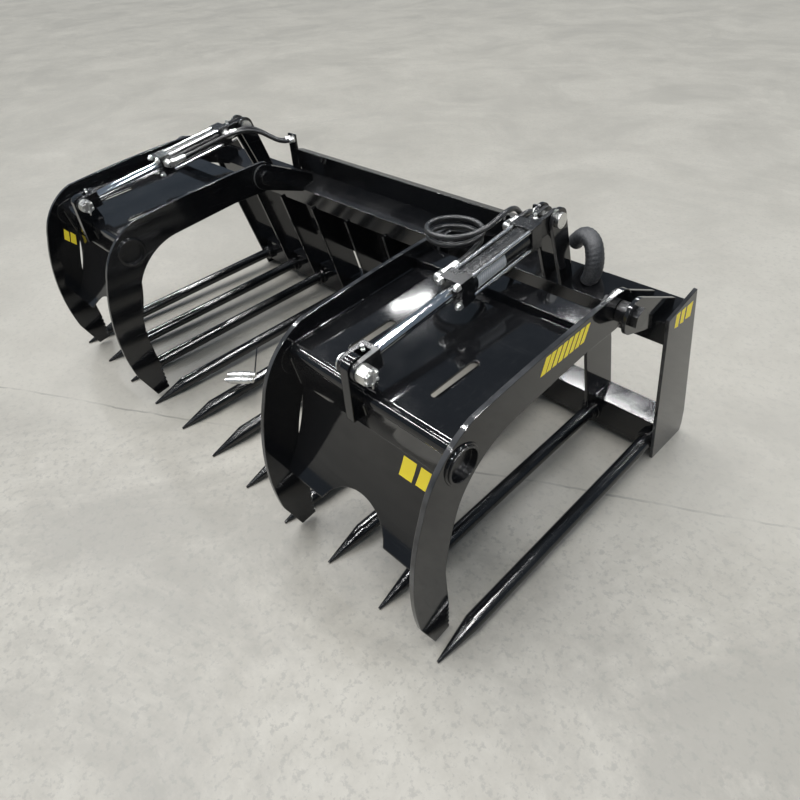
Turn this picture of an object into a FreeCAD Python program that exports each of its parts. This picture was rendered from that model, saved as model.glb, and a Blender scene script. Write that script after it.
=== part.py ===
import FreeCAD, Part
import math
import os
import re
import Sketcher
from FreeCAD import Placement, Rotation, Vector

# Manure grapple for a loader: a fork frame with eleven tines, two hinged claws and a cylinder on each.
# X runs across the frame, -Y points forward along the tines and Z is up. The floor is Z = 0 and the
# origin is the middle of the floor area that the whole grapple covers. Lengths are in millimetres.
doc = FreeCAD.newDocument("ManureGrapple")
sheet = doc.addObject("Spreadsheet::Sheet", "Sizes")
TINE_COUNT = 11

SIZES = [
    ("overall_width", 2133.6, "across the end plates"),
    ("frame_lean", 15, "degrees that the frame leans forward"),
    ("front_foot", 5, "front edge line of the uprights at the floor, ahead of the datum"),
    ("back_foot", 111.6, "back plane at the floor, behind the datum"),
    ("heel_rear", 176, "rearmost edge of the end plates"),
    ("end_plate_wall", 9.5, "end plate thickness"),
    ("end_plate_height", 587, "height of an end plate's front top corner"),
    ("end_plate_top", 132.7, "length of an end plate's top edge"),
    ("heel_height", 30, "height of the end plate's upright heel edge"),
    ("heel_shoulder_rear", 161, "where the end plate's slanted back edge ends"),
    ("heel_shoulder_height", 96, "height of that point"),
    ("tube_side", 101.6, "bottom tube, square"),
    ("tube_wall", 6.35, "wall of the bottom tube"),
    ("tube_front", 3, "front face of the bottom tube, behind the datum"),
    ("tube_lift", 24, "underside of the bottom tube above the floor"),
    ("beam_depth", 101.6, "top beam, front to back"),
    ("beam_tall", 76.2, "top beam, bottom to top"),
    ("beam_wall", 6.35, "wall of the top beam"),
    ("beam_height", 518, "height of the beam's lower rear corner"),
    ("tine_edge", 22.3, "inner face of an end plate to the axis of the outermost tine"),
    ("tine_pitch", f"=(overall_width / 2 - end_plate_wall - tine_edge) / {TINE_COUNT // 2}", "distance between tines"),
    ("tine_dia", 44.45, "tine bar"),
    ("tine_length", 976, "tube face to tine tip"),
    ("tine_axis_height", 64.8, "height of a tine's axis at the tube face"),
    ("tine_taper", 128, "length of the forged point"),
    ("tine_point_dia", 7, "blunt end of the point"),
    ("tine_root", 20, "length of bar inside the tube"),
    ("collar_dia", 63.5, "welded collar round a tine"),
    ("collar_length", 20, "how far a collar stands off the tube"),
    ("upright_wall", 9.5, "upright plate thickness"),
    ("upright_toe", 98, "height of an upright's toe over the tine"),
    ("side_upright_waist_rear", 43, "back edge of the outer uprights at their waist"),
    ("side_upright_waist_height", 336, "height of that waist"),
    ("plate_side_gap", 50.25, "edge of the quick-attach plate to the outer uprights"),
    ("plate_half_width", "=3 * tine_pitch - upright_wall / 2 - plate_side_gap", "half the quick-attach plate"),
    ("plate_wall", 9.5, "quick-attach plate thickness"),
    ("plate_height", 243, "height of the quick-attach plate's lower edge"),
    ("plate_tall", 450, "quick-attach plate along its lean"),
    ("lip_depth", 42, "how far the top lip reaches back"),
    ("lip_drop", 24, "how far the lip comes down"),
    ("foot_depth", 52, "how far the lower ledge reaches back"),
    ("foot_wall", 12.7, "ledge thickness"),
    ("foot_rise", 14, "ledge above the plate's lower edge"),
    ("wedge_offset", 407, "wedge slot from the middle"),
    ("wedge_length", 66, "wedge slot, across"),
    ("wedge_width", 26, "wedge slot, front to back"),
    ("pivot_forward", 300, "claw hinge ahead of the datum"),
    ("pivot_height", 655, "claw hinge above the floor"),
    ("hinge_dia", 31.75, "hinge bolt"),
    ("running_gap", 0.06, "radial clearance of a pin in its hole"),
    ("side_gap", 1, "clearance beside a moving plate"),
    ("ear_wall", 9.5, "hinge ear thickness"),
    ("ear_radius", 45, "round nose of an ear"),
    ("ear_heel", 90, "back end of an ear's top edge, ahead of the datum"),
    ("ear_heel_height", 611, "height of that point"),
    ("ear_throat_drop", 9, "foot of an ear below the beam's front top corner"),
    ("outer_ear_gap", 31.75, "spacer between the outer claw plate and the outboard ear"),
    ("spacer_dia", 50.8, "hinge spacer"),
    ("nut_across", 47.6, "hinge nut across flats"),
    ("nut_tall", 16, "hinge nut and head height"),
    ("claw_wall", 12.7, "claw plate thickness"),
    ("claw_outer", 992, "middle of the outer claw plate from the centre line"),
    ("claw_inner", 455, "middle of the inner claw plate from the centre line"),
    ("hub_radius", 52, "round rear end of a claw plate"),
    ("crown_forward", 260, "claw top edge, middle"),
    ("crown_rise", 33, "claw top edge, middle, above the hinge"),
    ("shoulder_forward", 515, "claw top edge, front end"),
    ("shoulder_rise", 2, "claw top edge, front end, above the hinge"),
    ("brow_forward", 605, "claw front corner, middle of its curve"),
    ("brow_drop", 58, "the same, below the hinge"),
    ("cheek_forward", 660, "claw front corner, lower end of its curve"),
    ("cheek_drop", 158, "the same, below the hinge"),
    ("claw_reach", 700, "furthest forward point of a claw"),
    ("reach_drop", 390, "the same, below the hinge"),
    ("jaw_forward", 684, "lower end of the claw's front curve"),
    ("jaw_drop", 540, "the same, below the hinge"),
    ("tip_forward", 640, "front corner of the claw tip"),
    ("tip_drop", 644, "the same, below the hinge"),
    ("toe_forward", 590, "rear corner of the claw tip"),
    ("toe_drop", 635, "the same, below the hinge"),
    ("throat_forward", 600, "claw's inner edge, lower end of its curve"),
    ("throat_drop", 402, "the same, below the hinge"),
    ("palm_mid_forward", 585, "inner edge, lower curve, middle"),
    ("palm_mid_drop", 300, "the same, below the hinge"),
    ("palm_forward", 556, "inner edge, where the curves meet"),
    ("palm_drop", 207, "the same, below the hinge"),
    ("roof_mid_forward", 495, "inner edge, upper curve, middle"),
    ("roof_mid_drop", 131, "the same, below the hinge"),
    ("roof_forward", 386, "inner edge, front end of the straight stretch"),
    ("roof_drop", 84, "the same, below the hinge"),
    ("loin_forward", 139, "inner edge, rear end of the straight stretch"),
    ("loin_drop", 56, "the same, below the hinge"),
    ("tooth_pitch", 18, "gripping teeth on the claw's inner edge"),
    ("tooth_depth", 8, "gripping tooth depth"),
    ("ring_forward", 550, "pipe ring of a claw plate, ahead of the hinge"),
    ("ring_drop", 92, "the same, below the hinge"),
    ("ring_dia", 88.9, "pipe ring outside"),
    ("ring_wall", 5.5, "pipe ring wall"),
    ("ring_stand", 8, "pipe ring past the claw plate"),
    ("ring_floor", 4, "disc that closes a pipe ring"),
    ("rear_tube_depth", 76.2, "claw rear tube, front to back"),
    ("rear_tube_tall", 50.8, "claw rear tube, bottom to top"),
    ("rear_tube_wall", 4.8, "claw rear tube wall"),
    ("rear_tube_forward", 49, "rear face of the tube ahead of the hinge"),
    ("rear_tube_drop", 42, "underside of the tube below the hinge"),
    ("sheet_wall", 6.35, "claw cover sheets"),
    ("sheet_rear_drop", 15, "top sheet's rear edge below the hinge"),
    ("sheet_front_forward", 546, "front end of the top sheet's flat"),
    ("sheet_front_drop", 48, "the same, below the hinge"),
    ("nose_forward", 568, "front of the top sheet's bend"),
    ("nose_drop", 75, "lower end of the bend"),
    ("waist_forward", 550, "front sheet's waist"),
    ("waist_drop", 170, "the same, below the hinge"),
    ("flare_forward", 590, "front sheet, middle of its flare"),
    ("flare_drop", 320, "the same, below the hinge"),
    ("lip_forward", 645, "front sheet's lower edge"),
    ("lip_low", 413, "the same, below the hinge"),
    ("arch_half_width", 115, "half the arch in the front sheet"),
    ("arch_rise", 68, "height of the arch"),
    ("slot_offset", 132, "slots of the top sheet from the claw's middle"),
    ("slot_forward", 408, "middle of the slots, ahead of the hinge"),
    ("slot_length", 145, "slot, end to end"),
    ("slot_width", 24, "slot width"),
    ("rod_pin_forward", 570, "rod pin ahead of the hinge"),
    ("rod_pin_rise", 15, "rod pin above the hinge"),
    ("base_pin_forward", 193, "base pin ahead of the datum"),
    ("base_pin_height", 771, "base pin above the floor"),
    ("cylinder_inset", 7, "cylinder's middle from the claw's middle, towards the centre line"),
    ("cylinder_pin_dia", 25.4, "cylinder pins"),
    ("lug_thickness", 25.4, "rod lug"),
    ("lug_radius", 30, "round top of the rod lug"),
    ("lug_hole_dia", 43, "open hole of the rod lug, hidden by the fork"),
    ("lug_rear", 520, "rear foot of the rod lug ahead of the hinge"),
    ("lug_front", 598, "front edge of the rod lug ahead of the hinge"),
    ("lug_low", 114, "lower end of the rod lug below the hinge"),
    ("bracket_wall", 9.5, "bracket plate thickness"),
    ("bracket_offset", 26, "bracket plates from the cylinder's middle"),
    ("bracket_radius", 31, "round top of a cylinder bracket"),
    ("bracket_heel", 95, "back foot of a bracket, ahead of the datum"),
    ("barrel_dia", 60.3, "barrel outside"),
    ("barrel_wall", 5, "barrel wall"),
    ("head_side", 66.7, "square heads"),
    ("cap_start", 77, "cap head from the base pin"),
    ("cap_long", 40, "cap head along the cylinder"),
    ("gland_start", 335, "gland head from the base pin"),
    ("gland_long", 42, "gland head along the cylinder"),
    ("clevis_half_tall", 25, "clevis ends, half their height"),
    ("cap_clevis_width", 40, "cap head's clevis"),
    ("cap_clevis_slot", 16, "gap in the cap head's clevis"),
    ("port_offset", 56, "line of the hose ends from the cylinder's axis"),
    ("port_rise", 8, "the same, above the axis"),
    ("port_boss_dia", 22, "port adapters"),
    ("hose_end_dia", 19, "crimped hose ends"),
    ("gland_hose_start", 293, "gland hose from the base pin"),
    ("cap_hose_start", 60, "cap hose from the base pin"),
    ("hose_dia", 14.3, "hydraulic hoses"),
    ("union_dia", 20, "pipe unions"),
    ("union_long", 7, "pipe unions ahead of their plate"),
    ("union_front", 62, "front ends of the unions, ahead of the datum"),
    ("union_height", 705, "unions above the floor"),
    ("union_first", 112.5, "cap hose's union from the cylinder's middle"),
    ("union_pitch", 24, "gland hose's union from the cap hose's"),
    ("union_plate_wall", 8, "plate that holds the unions"),
    ("union_plate_width", 46, "the same, across"),
    ("union_plate_top", 723, "the same, top edge above the floor"),
    ("tie_rod_dia", 11, "tie rods"),
    ("tie_rod_offset", 26, "tie rods from the axis, each way"),
    ("tie_nut_dia", 14, "tie rod nuts"),
    ("tie_nut_tall", 10, "tie rod nuts"),
    ("rod_dia", 31.75, "piston rod"),
    ("rod_inside", 60, "rod behind the gland head"),
    ("fork_long", 58, "rod clevis behind the pin"),
    ("fork_width", 54, "rod clevis across its two arms"),
    ("fork_slot", 44, "bottom of the rod clevis's slot behind the pin"),
    ("washer_dia", 44, "rod pin washer"),
    ("washer_tall", 3, "rod pin washer"),
    ("castle_nut_across", 38.1, "rod pin nut"),
    ("castle_nut_tall", 24, "rod pin nut"),
    ("pin_end", 4, "rod pin past its nut"),
    ("pin_head_dia", 40, "rod and base pin heads"),
    ("pin_head_tall", 9, "rod and base pin heads"),
]
for row, (alias, value, note) in enumerate(SIZES, start=1):
    sheet.set(f"A{row}", note)
    sheet.set(f"B{row}", str(value))
    sheet.setAlias(f"B{row}", alias)
doc.recompute()

ALIASES = sorted((alias for alias, value, note in SIZES), key=len, reverse=True)
ALIAS_PATTERN = re.compile(r"\b(" + "|".join(ALIASES) + r")\b")
nodes = {}


# Formulas are written with the aliases alone, and this puts the sheet's name before each one.
def bound(formula):
    return ALIAS_PATTERN.sub(r"Sizes.\1", str(formula))


def value_of(formula):
    found = sheet.evalExpression(bound(formula))
    return float(getattr(found, "Value", found))


def bind(item, **formulas):
    for name, formula in formulas.items():
        item.setExpression(name, bound(formula))


# The middle of the floor area lies this far ahead of the datum, the line that the frame is laid out from.
CENTRE_FORWARD = "((pivot_forward + claw_reach - heel_rear) / 2)"


# Sub-parts are shifted so that the origin is the middle of the floor area. Pieces of a sub-part are not.
def seat(item, x="0", y="0", z="0", turn_axis=None, turn="0", of_node=True):
    if turn_axis is not None:
        item.Placement = Placement(Vector(), Rotation(turn_axis, value_of(turn)))
    shift = f" + {CENTRE_FORWARD}" if of_node else ""
    item.setExpression("Placement.Base.x", bound(x))
    item.setExpression("Placement.Base.y", bound(f"{y}{shift}"))
    item.setExpression("Placement.Base.z", bound(z))
    if turn_axis is not None and turn != "90":
        item.setExpression("Placement.Rotation.Angle", bound(turn))
    return item


def node(item, label):
    item.Label = label
    nodes[label] = item
    return item


def new_body(label):
    body = doc.addObject("PartDesign::Body", label)
    return body


def plane_of(body, role):
    return next(item for item in body.Origin.OriginFeatures if item.Role == role)


def new_sketch(body, role, name, offset="0"):
    sketch = body.newObject("Sketcher::SketchObject", name)
    sketch.AttachmentSupport = (plane_of(body, role), [""])
    sketch.MapMode = "FlatFace"
    if offset != "0":
        sketch.setExpression("AttachmentOffset.Base.z", bound(offset))
    return sketch


def pin_vertex(sketch, geometry, position, across, up):
    for kind, formula in (("DistanceX", across), ("DistanceY", up)):
        number = sketch.addConstraint(
            Sketcher.Constraint(kind, -1, 1, geometry, position, value_of(formula)))
        sketch.setExpression(f"Constraints[{number}]", bound(formula))


# An outline is a list of corners. A corner with a third entry is reached by an arc through that middle point.
def draw_outline(sketch, corners):
    places = [Vector(value_of(c[0]), value_of(c[1]), 0) for c in corners]
    edges = []
    for index, corner in enumerate(corners):
        start = places[index - 1]
        end = places[index]
        if len(corner) == 3:
            middle = Vector(value_of(corner[2][0]), value_of(corner[2][1]), 0)
            circle = Part.Arc(start, middle, end).toShape().Curve
            turns_left = (middle - start).cross(end - middle).z > 0
            first, last = (start, end) if turns_left else (end, start)
            angles = [math.atan2(p.y - circle.Center.y, p.x - circle.Center.x) for p in (first, last)]
            base = Part.Circle(circle.Center, Vector(0, 0, 1), circle.Radius)
            number = sketch.addGeometry(Part.ArcOfCircle(base, angles[0], angles[1]))
            ends = (1, 2) if turns_left else (2, 1)
            helper = sketch.addGeometry(Part.Point(middle), True)
            pin_vertex(sketch, helper, 1, *corner[2])
            sketch.addConstraint(Sketcher.Constraint("PointOnObject", helper, 1, number))
        else:
            number = sketch.addGeometry(Part.LineSegment(start, end))
            ends = (1, 2)
        edges.append((number, ends))
    for index, (number, ends) in enumerate(edges):
        before, before_ends = edges[index - 1]
        sketch.addConstraint(Sketcher.Constraint("Coincident", before, before_ends[1], number, ends[0]))
        pin_vertex(sketch, number, ends[1], corners[index][0], corners[index][1])


def draw_circle(sketch, across, up, diameter):
    centre = Vector(value_of(across), value_of(up), 0)
    number = sketch.addGeometry(Part.Circle(centre, Vector(0, 0, 1), value_of(diameter) / 2))
    pin_vertex(sketch, number, 3, across, up)
    size = sketch.addConstraint(Sketcher.Constraint("Diameter", number, value_of(diameter)))
    sketch.setExpression(f"Constraints[{size}]", bound(diameter))


def pad(body, sketch, length, reversed_side=False):
    feature = body.newObject("PartDesign::Pad", "Pad")
    feature.Profile = sketch
    feature.Reversed = reversed_side
    bind(feature, Length=length)
    sketch.Visibility = False
    return feature


# A flat plate cut to an outline in the YZ plane, with round holes given as (across, up, diameter).
def plate(name, corners, thickness, holes=()):
    body = new_body(name)
    sketch = new_sketch(body, "YZ_Plane", name + "Outline")
    draw_outline(sketch, corners)
    for hole in holes:
        draw_circle(sketch, *hole)
    pad(body, sketch, thickness)
    return body


# A turned piece along X, from pairs of place along the axis and diameter.
def turned(name, steps):
    body = new_body(name)
    sketch = new_sketch(body, "XY_Plane", name + "Profile")
    corners = [(steps[0][0], "0")]
    for index, (place, diameter) in enumerate(steps[:-1]):
        corners.append((place, f"({diameter}) / 2"))
        corners.append((steps[index + 1][0], f"({diameter}) / 2"))
    corners.append((steps[-1][0], "0"))
    draw_outline(sketch, corners)
    feature = body.newObject("PartDesign::Revolution", "Turning")
    feature.Profile = sketch
    feature.ReferenceAxis = (sketch, ["H_Axis"])
    feature.Angle = 360
    sketch.Visibility = False
    return body


def group(items, name):
    compound = doc.addObject("Part::Compound", name)
    compound.Links = items
    return compound


def cut(base, tool, name):
    feature = doc.addObject("Part::Cut", name)
    feature.Base = base
    feature.Tool = tool
    return feature


def box(name, length, width, height):
    item = doc.addObject("Part::Box", name)
    bind(item, Length=length, Width=width, Height=height)
    return item


# A cylinder along X.
def bar(name, diameter, length):
    item = doc.addObject("Part::Cylinder", name)
    bind(item, Radius=f"({diameter}) / 2", Height=length)
    return item


def hexagon(name, across_flats, height):
    item = doc.addObject("Part::Prism", name)
    item.Polygon = 6
    bind(item, Circumradius=f"({across_flats}) / 2 / cos(30)", Height=height)
    return item


ALONG_X = Vector(0, 1, 0)
SIDEWAYS = Vector(1, 0, 0)
SLOPE = "tan(frame_lean)"


def front_line(height):
    return f"(-front_foot - {SLOPE} * ({height}))"


def back_line(height):
    return f"(back_foot - {SLOPE} * ({height}))"


INSIDE_WIDTH = "(overall_width - 2 * end_plate_wall)"
TUBE_TOP = "(tube_lift + tube_side)"

# The beam leans with the frame. Its lower rear corner lies on the back plane.
BEAM_REAR = back_line("beam_height")
BEAM_FRONT_LOW = (f"({BEAM_REAR} - beam_depth * cos(frame_lean))", "(beam_height - beam_depth * sin(frame_lean))")
BEAM_FRONT_TOP = (f"({BEAM_FRONT_LOW[0]} - beam_tall * sin(frame_lean))",
                  f"({BEAM_FRONT_LOW[1]} + beam_tall * cos(frame_lean))")


def beam_top(forward):
    return f"({BEAM_FRONT_TOP[1]} + {SLOPE} * (-({forward}) - {BEAM_FRONT_TOP[0]}))"


# Fork frame tubes. The bottom tube carries the tines, whose bars pass through its front wall.
TINE_TILT = "atan((tine_axis_height - tine_dia / 2) / tine_length)"
TINE_PLACES = [f"{index - TINE_COUNT // 2} * tine_pitch" for index in range(TINE_COUNT)]


def tilted_bars(name, diameter, start, length):
    bars = []
    for index, place in enumerate(TINE_PLACES):
        item = doc.addObject("Part::Cylinder", f"{name}{index + 1}")
        bind(item, Radius=f"({diameter}) / 2", Height=length)
        seat(item, place, f"tube_front + ({start}) * cos({TINE_TILT})",
             f"tine_axis_height + ({start}) * sin({TINE_TILT})", SIDEWAYS, f"90 deg + {TINE_TILT}", of_node=False)
        bars.append(item)
    return group(bars, name)


tube_outside = box("TubeOutside", INSIDE_WIDTH, "tube_side", "tube_side")
seat(tube_outside, f"-{INSIDE_WIDTH} / 2", "tube_front", "tube_lift", of_node=False)
tube_inside = box("TubeInside", INSIDE_WIDTH, "tube_side - 2 * tube_wall", "tube_side - 2 * tube_wall")
seat(tube_inside, f"-{INSIDE_WIDTH} / 2", "tube_front + tube_wall", "tube_lift + tube_wall", of_node=False)
tine_bars = tilted_bars("TineBars", "tine_dia", "tine_root", "tine_root + collar_length * 2")
bottom_tube = cut(cut(tube_outside, tube_inside, "TubeWalls"), tine_bars, "BottomTube")
seat(node(bottom_tube, "bottom_tube"))

beam_body = new_body("TopBeam")
beam_sketch = new_sketch(beam_body, "YZ_Plane", "BeamSection")
draw_outline(beam_sketch, [("0", "0"), ("0", "beam_tall"), ("-beam_depth", "beam_tall"), ("-beam_depth", "0")])
draw_outline(beam_sketch, [
    ("-beam_wall", "beam_wall"),
    ("-beam_wall", "beam_tall - beam_wall"),
    ("beam_wall - beam_depth", "beam_tall - beam_wall"),
    ("beam_wall - beam_depth", "beam_wall"),
])
pad(beam_body, beam_sketch, INSIDE_WIDTH)
seat(node(beam_body, "top_beam"), f"-{INSIDE_WIDTH} / 2", BEAM_REAR, "beam_height", SIDEWAYS, "frame_lean")

# Tines: round bars that run down to the floor, drawn to a point whose underside stays straight.
for index, place in enumerate(TINE_PLACES):
    tine = new_body(f"Tine{index + 1:02d}")
    straight = new_sketch(tine, "XZ_Plane", "TineBar", "-tine_root")
    draw_circle(straight, "0", "0", "tine_dia")
    STRAIGHT_LENGTH = f"(tine_length / cos({TINE_TILT}) - tine_taper)"
    pad(tine, straight, f"tine_root + {STRAIGHT_LENGTH}")
    taper_start = new_sketch(tine, "XZ_Plane", "TaperStart", STRAIGHT_LENGTH)
    draw_circle(taper_start, "0", "0", "tine_dia")
    taper_end = new_sketch(tine, "XZ_Plane", "TaperEnd", f"{STRAIGHT_LENGTH} + tine_taper")
    draw_circle(taper_end, "0", "(tine_point_dia - tine_dia) / 2", "tine_point_dia")
    point = tine.newObject("PartDesign::AdditiveLoft", "Point")
    point.Profile = taper_start
    point.Sections = [taper_end]
    node(tine, f"tine_{index + 1:02d}")
    seat(tine, place, "tube_front", "tine_axis_height", SIDEWAYS, TINE_TILT)

collar_blanks = tilted_bars("CollarBlanks", "collar_dia", "tube_wall", "tube_wall + collar_length")
collar_rings = cut(cut(collar_blanks, tube_outside, "CollarFaces"), tine_bars, "CollarRings")
collar_space = box("SpaceBetweenEndPlates", INSIDE_WIDTH, "4 * collar_dia", "4 * collar_dia")
seat(collar_space, f"-{INSIDE_WIDTH} / 2", "tube_front - 2 * collar_dia", "tine_axis_height - 2 * collar_dia",
     of_node=False)
collars = doc.addObject("Part::Common", "TineCollars")
collars.Base = collar_rings
collars.Tool = collar_space
seat(node(collars, "tine_collars"))

# End plates close the tubes and stand on the floor.
END_TOP = (f"({front_line('end_plate_height')} + end_plate_top * cos(frame_lean))",
           "(end_plate_height + end_plate_top * sin(frame_lean))")
END_OUTLINE = [
    ("-front_foot", "0"),
    (front_line("end_plate_height"), "end_plate_height"),
    END_TOP,
    ("heel_shoulder_rear", "heel_shoulder_height"),
    ("heel_rear", "heel_height"),
    ("heel_rear", "0"),
]
for label, place in (("end_plate_left", "-overall_width / 2"), ("end_plate_right", "overall_width / 2 - end_plate_wall")):
    end_plate = plate("EndPlate", END_OUTLINE, "end_plate_wall")
    seat(node(end_plate, label), place)

# Uprights: plates over the tines, from the bottom tube up to the underside of the beam.
TOP_FRONT_HEIGHT = (f"(({BEAM_FRONT_LOW[1]} + {SLOPE} * (-front_foot - {BEAM_FRONT_LOW[0]}))"
                    f" / (1 + {SLOPE} * {SLOPE}))")
UPRIGHT_FRONT = [
    ("tube_front", TUBE_TOP),
    ("tube_front", "upright_toe"),
    (front_line("upright_toe"), "upright_toe"),
    (front_line(TOP_FRONT_HEIGHT), TOP_FRONT_HEIGHT),
    (BEAM_REAR, "beam_height"),
]
CENTRE_UPRIGHT = UPRIGHT_FRONT + [(back_line(TUBE_TOP), TUBE_TOP)]
SIDE_UPRIGHT = UPRIGHT_FRONT + [
    ("side_upright_waist_rear", "side_upright_waist_height"),
    ("tube_front + tube_side", TUBE_TOP),
]
UPRIGHT_SETS = (
    ("uprights_left", SIDE_UPRIGHT, (-4, -3)),
    ("uprights_centre", CENTRE_UPRIGHT, (-2, -1, 0, 1, 2)),
    ("uprights_right", SIDE_UPRIGHT, (3, 4)),
)
for label, corners, steps in UPRIGHT_SETS:
    plates = []
    for step in steps:
        upright = plate("Upright", corners, "upright_wall")
        plates.append(seat(upright, f"{step} * tine_pitch - upright_wall / 2", of_node=False))
    seat(node(group(plates, label.title()), label))

# Quick-attach plate: bent over at the top into a lip that the loader hooks under.
LIP_TILT = "(lip_drop / lip_depth)"
plate_body = new_body("QuickAttachPlate")
plate_sketch = new_sketch(plate_body, "YZ_Plane", "PlateSection")
draw_outline(plate_sketch, [
    ("0", "0"),
    ("0", "plate_tall"),
    ("lip_depth", "plate_tall - lip_drop"),
    ("lip_depth - plate_wall / 2", "plate_tall - lip_drop - plate_wall"),
    ("plate_wall", f"plate_tall - plate_wall * (1 + {LIP_TILT})"),
    ("plate_wall", "0"),
])
pad(plate_body, plate_sketch, "2 * plate_half_width")
PLATE_FOOT = back_line("plate_height")
seat(node(plate_body, "quick_attach_plate"), "-plate_half_width", PLATE_FOOT, "plate_height", SIDEWAYS, "frame_lean")

# The ledge at the plate's foot has a slot at each side for the loader's wedge pins.
foot_body = new_body("QuickAttachFoot")
foot_sketch = new_sketch(foot_body, "XY_Plane", "LedgeOutline", "foot_rise")
draw_outline(foot_sketch, [
    ("-plate_half_width", "plate_wall"),
    ("plate_half_width", "plate_wall"),
    ("plate_half_width", "plate_wall + foot_depth"),
    ("-plate_half_width", "plate_wall + foot_depth"),
])
WEDGE_MIDDLE = "(plate_wall + foot_depth / 2)"
for side in ("-", ""):
    draw_outline(foot_sketch, [
        (f"{side}wedge_offset - wedge_length / 2", f"{WEDGE_MIDDLE} - wedge_width / 2"),
        (f"{side}wedge_offset + wedge_length / 2", f"{WEDGE_MIDDLE} - wedge_width / 2"),
        (f"{side}wedge_offset + wedge_length / 2", f"{WEDGE_MIDDLE} + wedge_width / 2"),
        (f"{side}wedge_offset - wedge_length / 2", f"{WEDGE_MIDDLE} + wedge_width / 2"),
    ])
pad(foot_body, foot_sketch, "foot_wall")
seat(node(foot_body, "quick_attach_foot"), "0", PLATE_FOOT, "plate_height", SIDEWAYS, "frame_lean")

# Hinge ears: each claw plate turns between two ears welded to the beam's front and top.
PIVOT = ("-pivot_forward", "pivot_height")
EAR_SLOPE = ("atan((pivot_height + ear_radius - ear_heel_height) / (pivot_forward - ear_heel))")
EAR_TOP = (f"(-pivot_forward + ear_radius * sin({EAR_SLOPE}))", f"(pivot_height + ear_radius * cos({EAR_SLOPE}))")
EAR_LOW_SLOPE = f"atan((pivot_height - ear_radius - {BEAM_FRONT_TOP[1]}) / (pivot_forward + {BEAM_FRONT_TOP[0]}))"
EAR_LOW = (f"(-pivot_forward - ear_radius * sin({EAR_LOW_SLOPE}))",
           f"(pivot_height - ear_radius * cos({EAR_LOW_SLOPE}))")
EAR_NOSE = ("(-pivot_forward - ear_radius)", "pivot_height")
EAR_OUTLINE = [
    ("-ear_heel", beam_top("ear_heel")),
    BEAM_FRONT_TOP,
    (f"({BEAM_FRONT_TOP[0]} + ear_throat_drop * sin(frame_lean))",
     f"({BEAM_FRONT_TOP[1]} - ear_throat_drop * cos(frame_lean))"),
    EAR_LOW,
    EAR_TOP + (EAR_NOSE,),
    ("-ear_heel", "ear_heel_height"),
]
HINGE_HOLE = PIVOT + ("hinge_dia + 2 * running_gap",)
OUTER_EAR_INBOARD = "(claw_outer - claw_wall / 2 - side_gap - ear_wall)"
OUTER_EAR_OUTBOARD = "(claw_outer + claw_wall / 2 + outer_ear_gap)"
INNER_EAR_INBOARD = "(claw_inner - claw_wall / 2 - side_gap - ear_wall)"
INNER_EAR_OUTBOARD = "(claw_inner + claw_wall / 2 + side_gap)"
EAR_PLACES = (OUTER_EAR_INBOARD, OUTER_EAR_OUTBOARD, INNER_EAR_INBOARD, INNER_EAR_OUTBOARD)


# Plates are laid out for the right-hand side. On the left the same plate lies the other way about.
def mirrored(place, thickness, side):
    return place if side > 0 else f"-({place}) - {thickness}"


SIDES = (("left", -1), ("right", 1))
for name, side in SIDES:
    ears = []
    for place in EAR_PLACES:
        ear = plate("HingeEar", EAR_OUTLINE, "ear_wall", [HINGE_HOLE])
        ears.append(seat(ear, mirrored(place, "ear_wall", side), of_node=False))
    seat(node(group(ears, "HingeEars" + name), f"hinge_ears_{name}"))


# A hinge bolt has a hexagon head at its lower end and a nut at the other, outside the two ears.
def hinge_bolt(start, length, spacer_start=None):
    shank = bar("HingeShank", "hinge_dia", length)
    seat(shank, start, *PIVOT, ALONG_X, "90", of_node=False)
    head = hexagon("HingeHead", "nut_across", "nut_tall")
    seat(head, f"{start} - nut_tall", *PIVOT, ALONG_X, "90", of_node=False)
    nut = hexagon("HingeNut", "nut_across", "nut_tall")
    seat(nut, f"{start} + {length}", *PIVOT, ALONG_X, "90", of_node=False)
    pieces = [shank, head, nut]
    if spacer_start is not None:
        ring = bar("SpacerOutside", "spacer_dia", "outer_ear_gap - 2 * side_gap")
        seat(ring, spacer_start, *PIVOT, ALONG_X, "90", of_node=False)
        pieces.append(ring)
    fused = doc.addObject("Part::MultiFuse", "HingeBolt")
    fused.Shapes = pieces
    return fused


OUTER_BOLT_LENGTH = f"({OUTER_EAR_OUTBOARD} + ear_wall - {OUTER_EAR_INBOARD})"
INNER_BOLT_LENGTH = f"({INNER_EAR_OUTBOARD} + ear_wall - {INNER_EAR_INBOARD})"
SPACER_LENGTH = "(outer_ear_gap - 2 * side_gap)"
bolts = []
for name, side in SIDES:
    SPACER = mirrored("(claw_outer + claw_wall / 2 + side_gap)", SPACER_LENGTH, side)
    bolts.append(hinge_bolt(mirrored(OUTER_EAR_INBOARD, OUTER_BOLT_LENGTH, side), OUTER_BOLT_LENGTH, SPACER))
    bolts.append(hinge_bolt(mirrored(INNER_EAR_INBOARD, INNER_BOLT_LENGTH, side), INNER_BOLT_LENGTH))
seat(node(group(bolts, "HingeBolts"), "hinge_bolts"))

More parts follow.
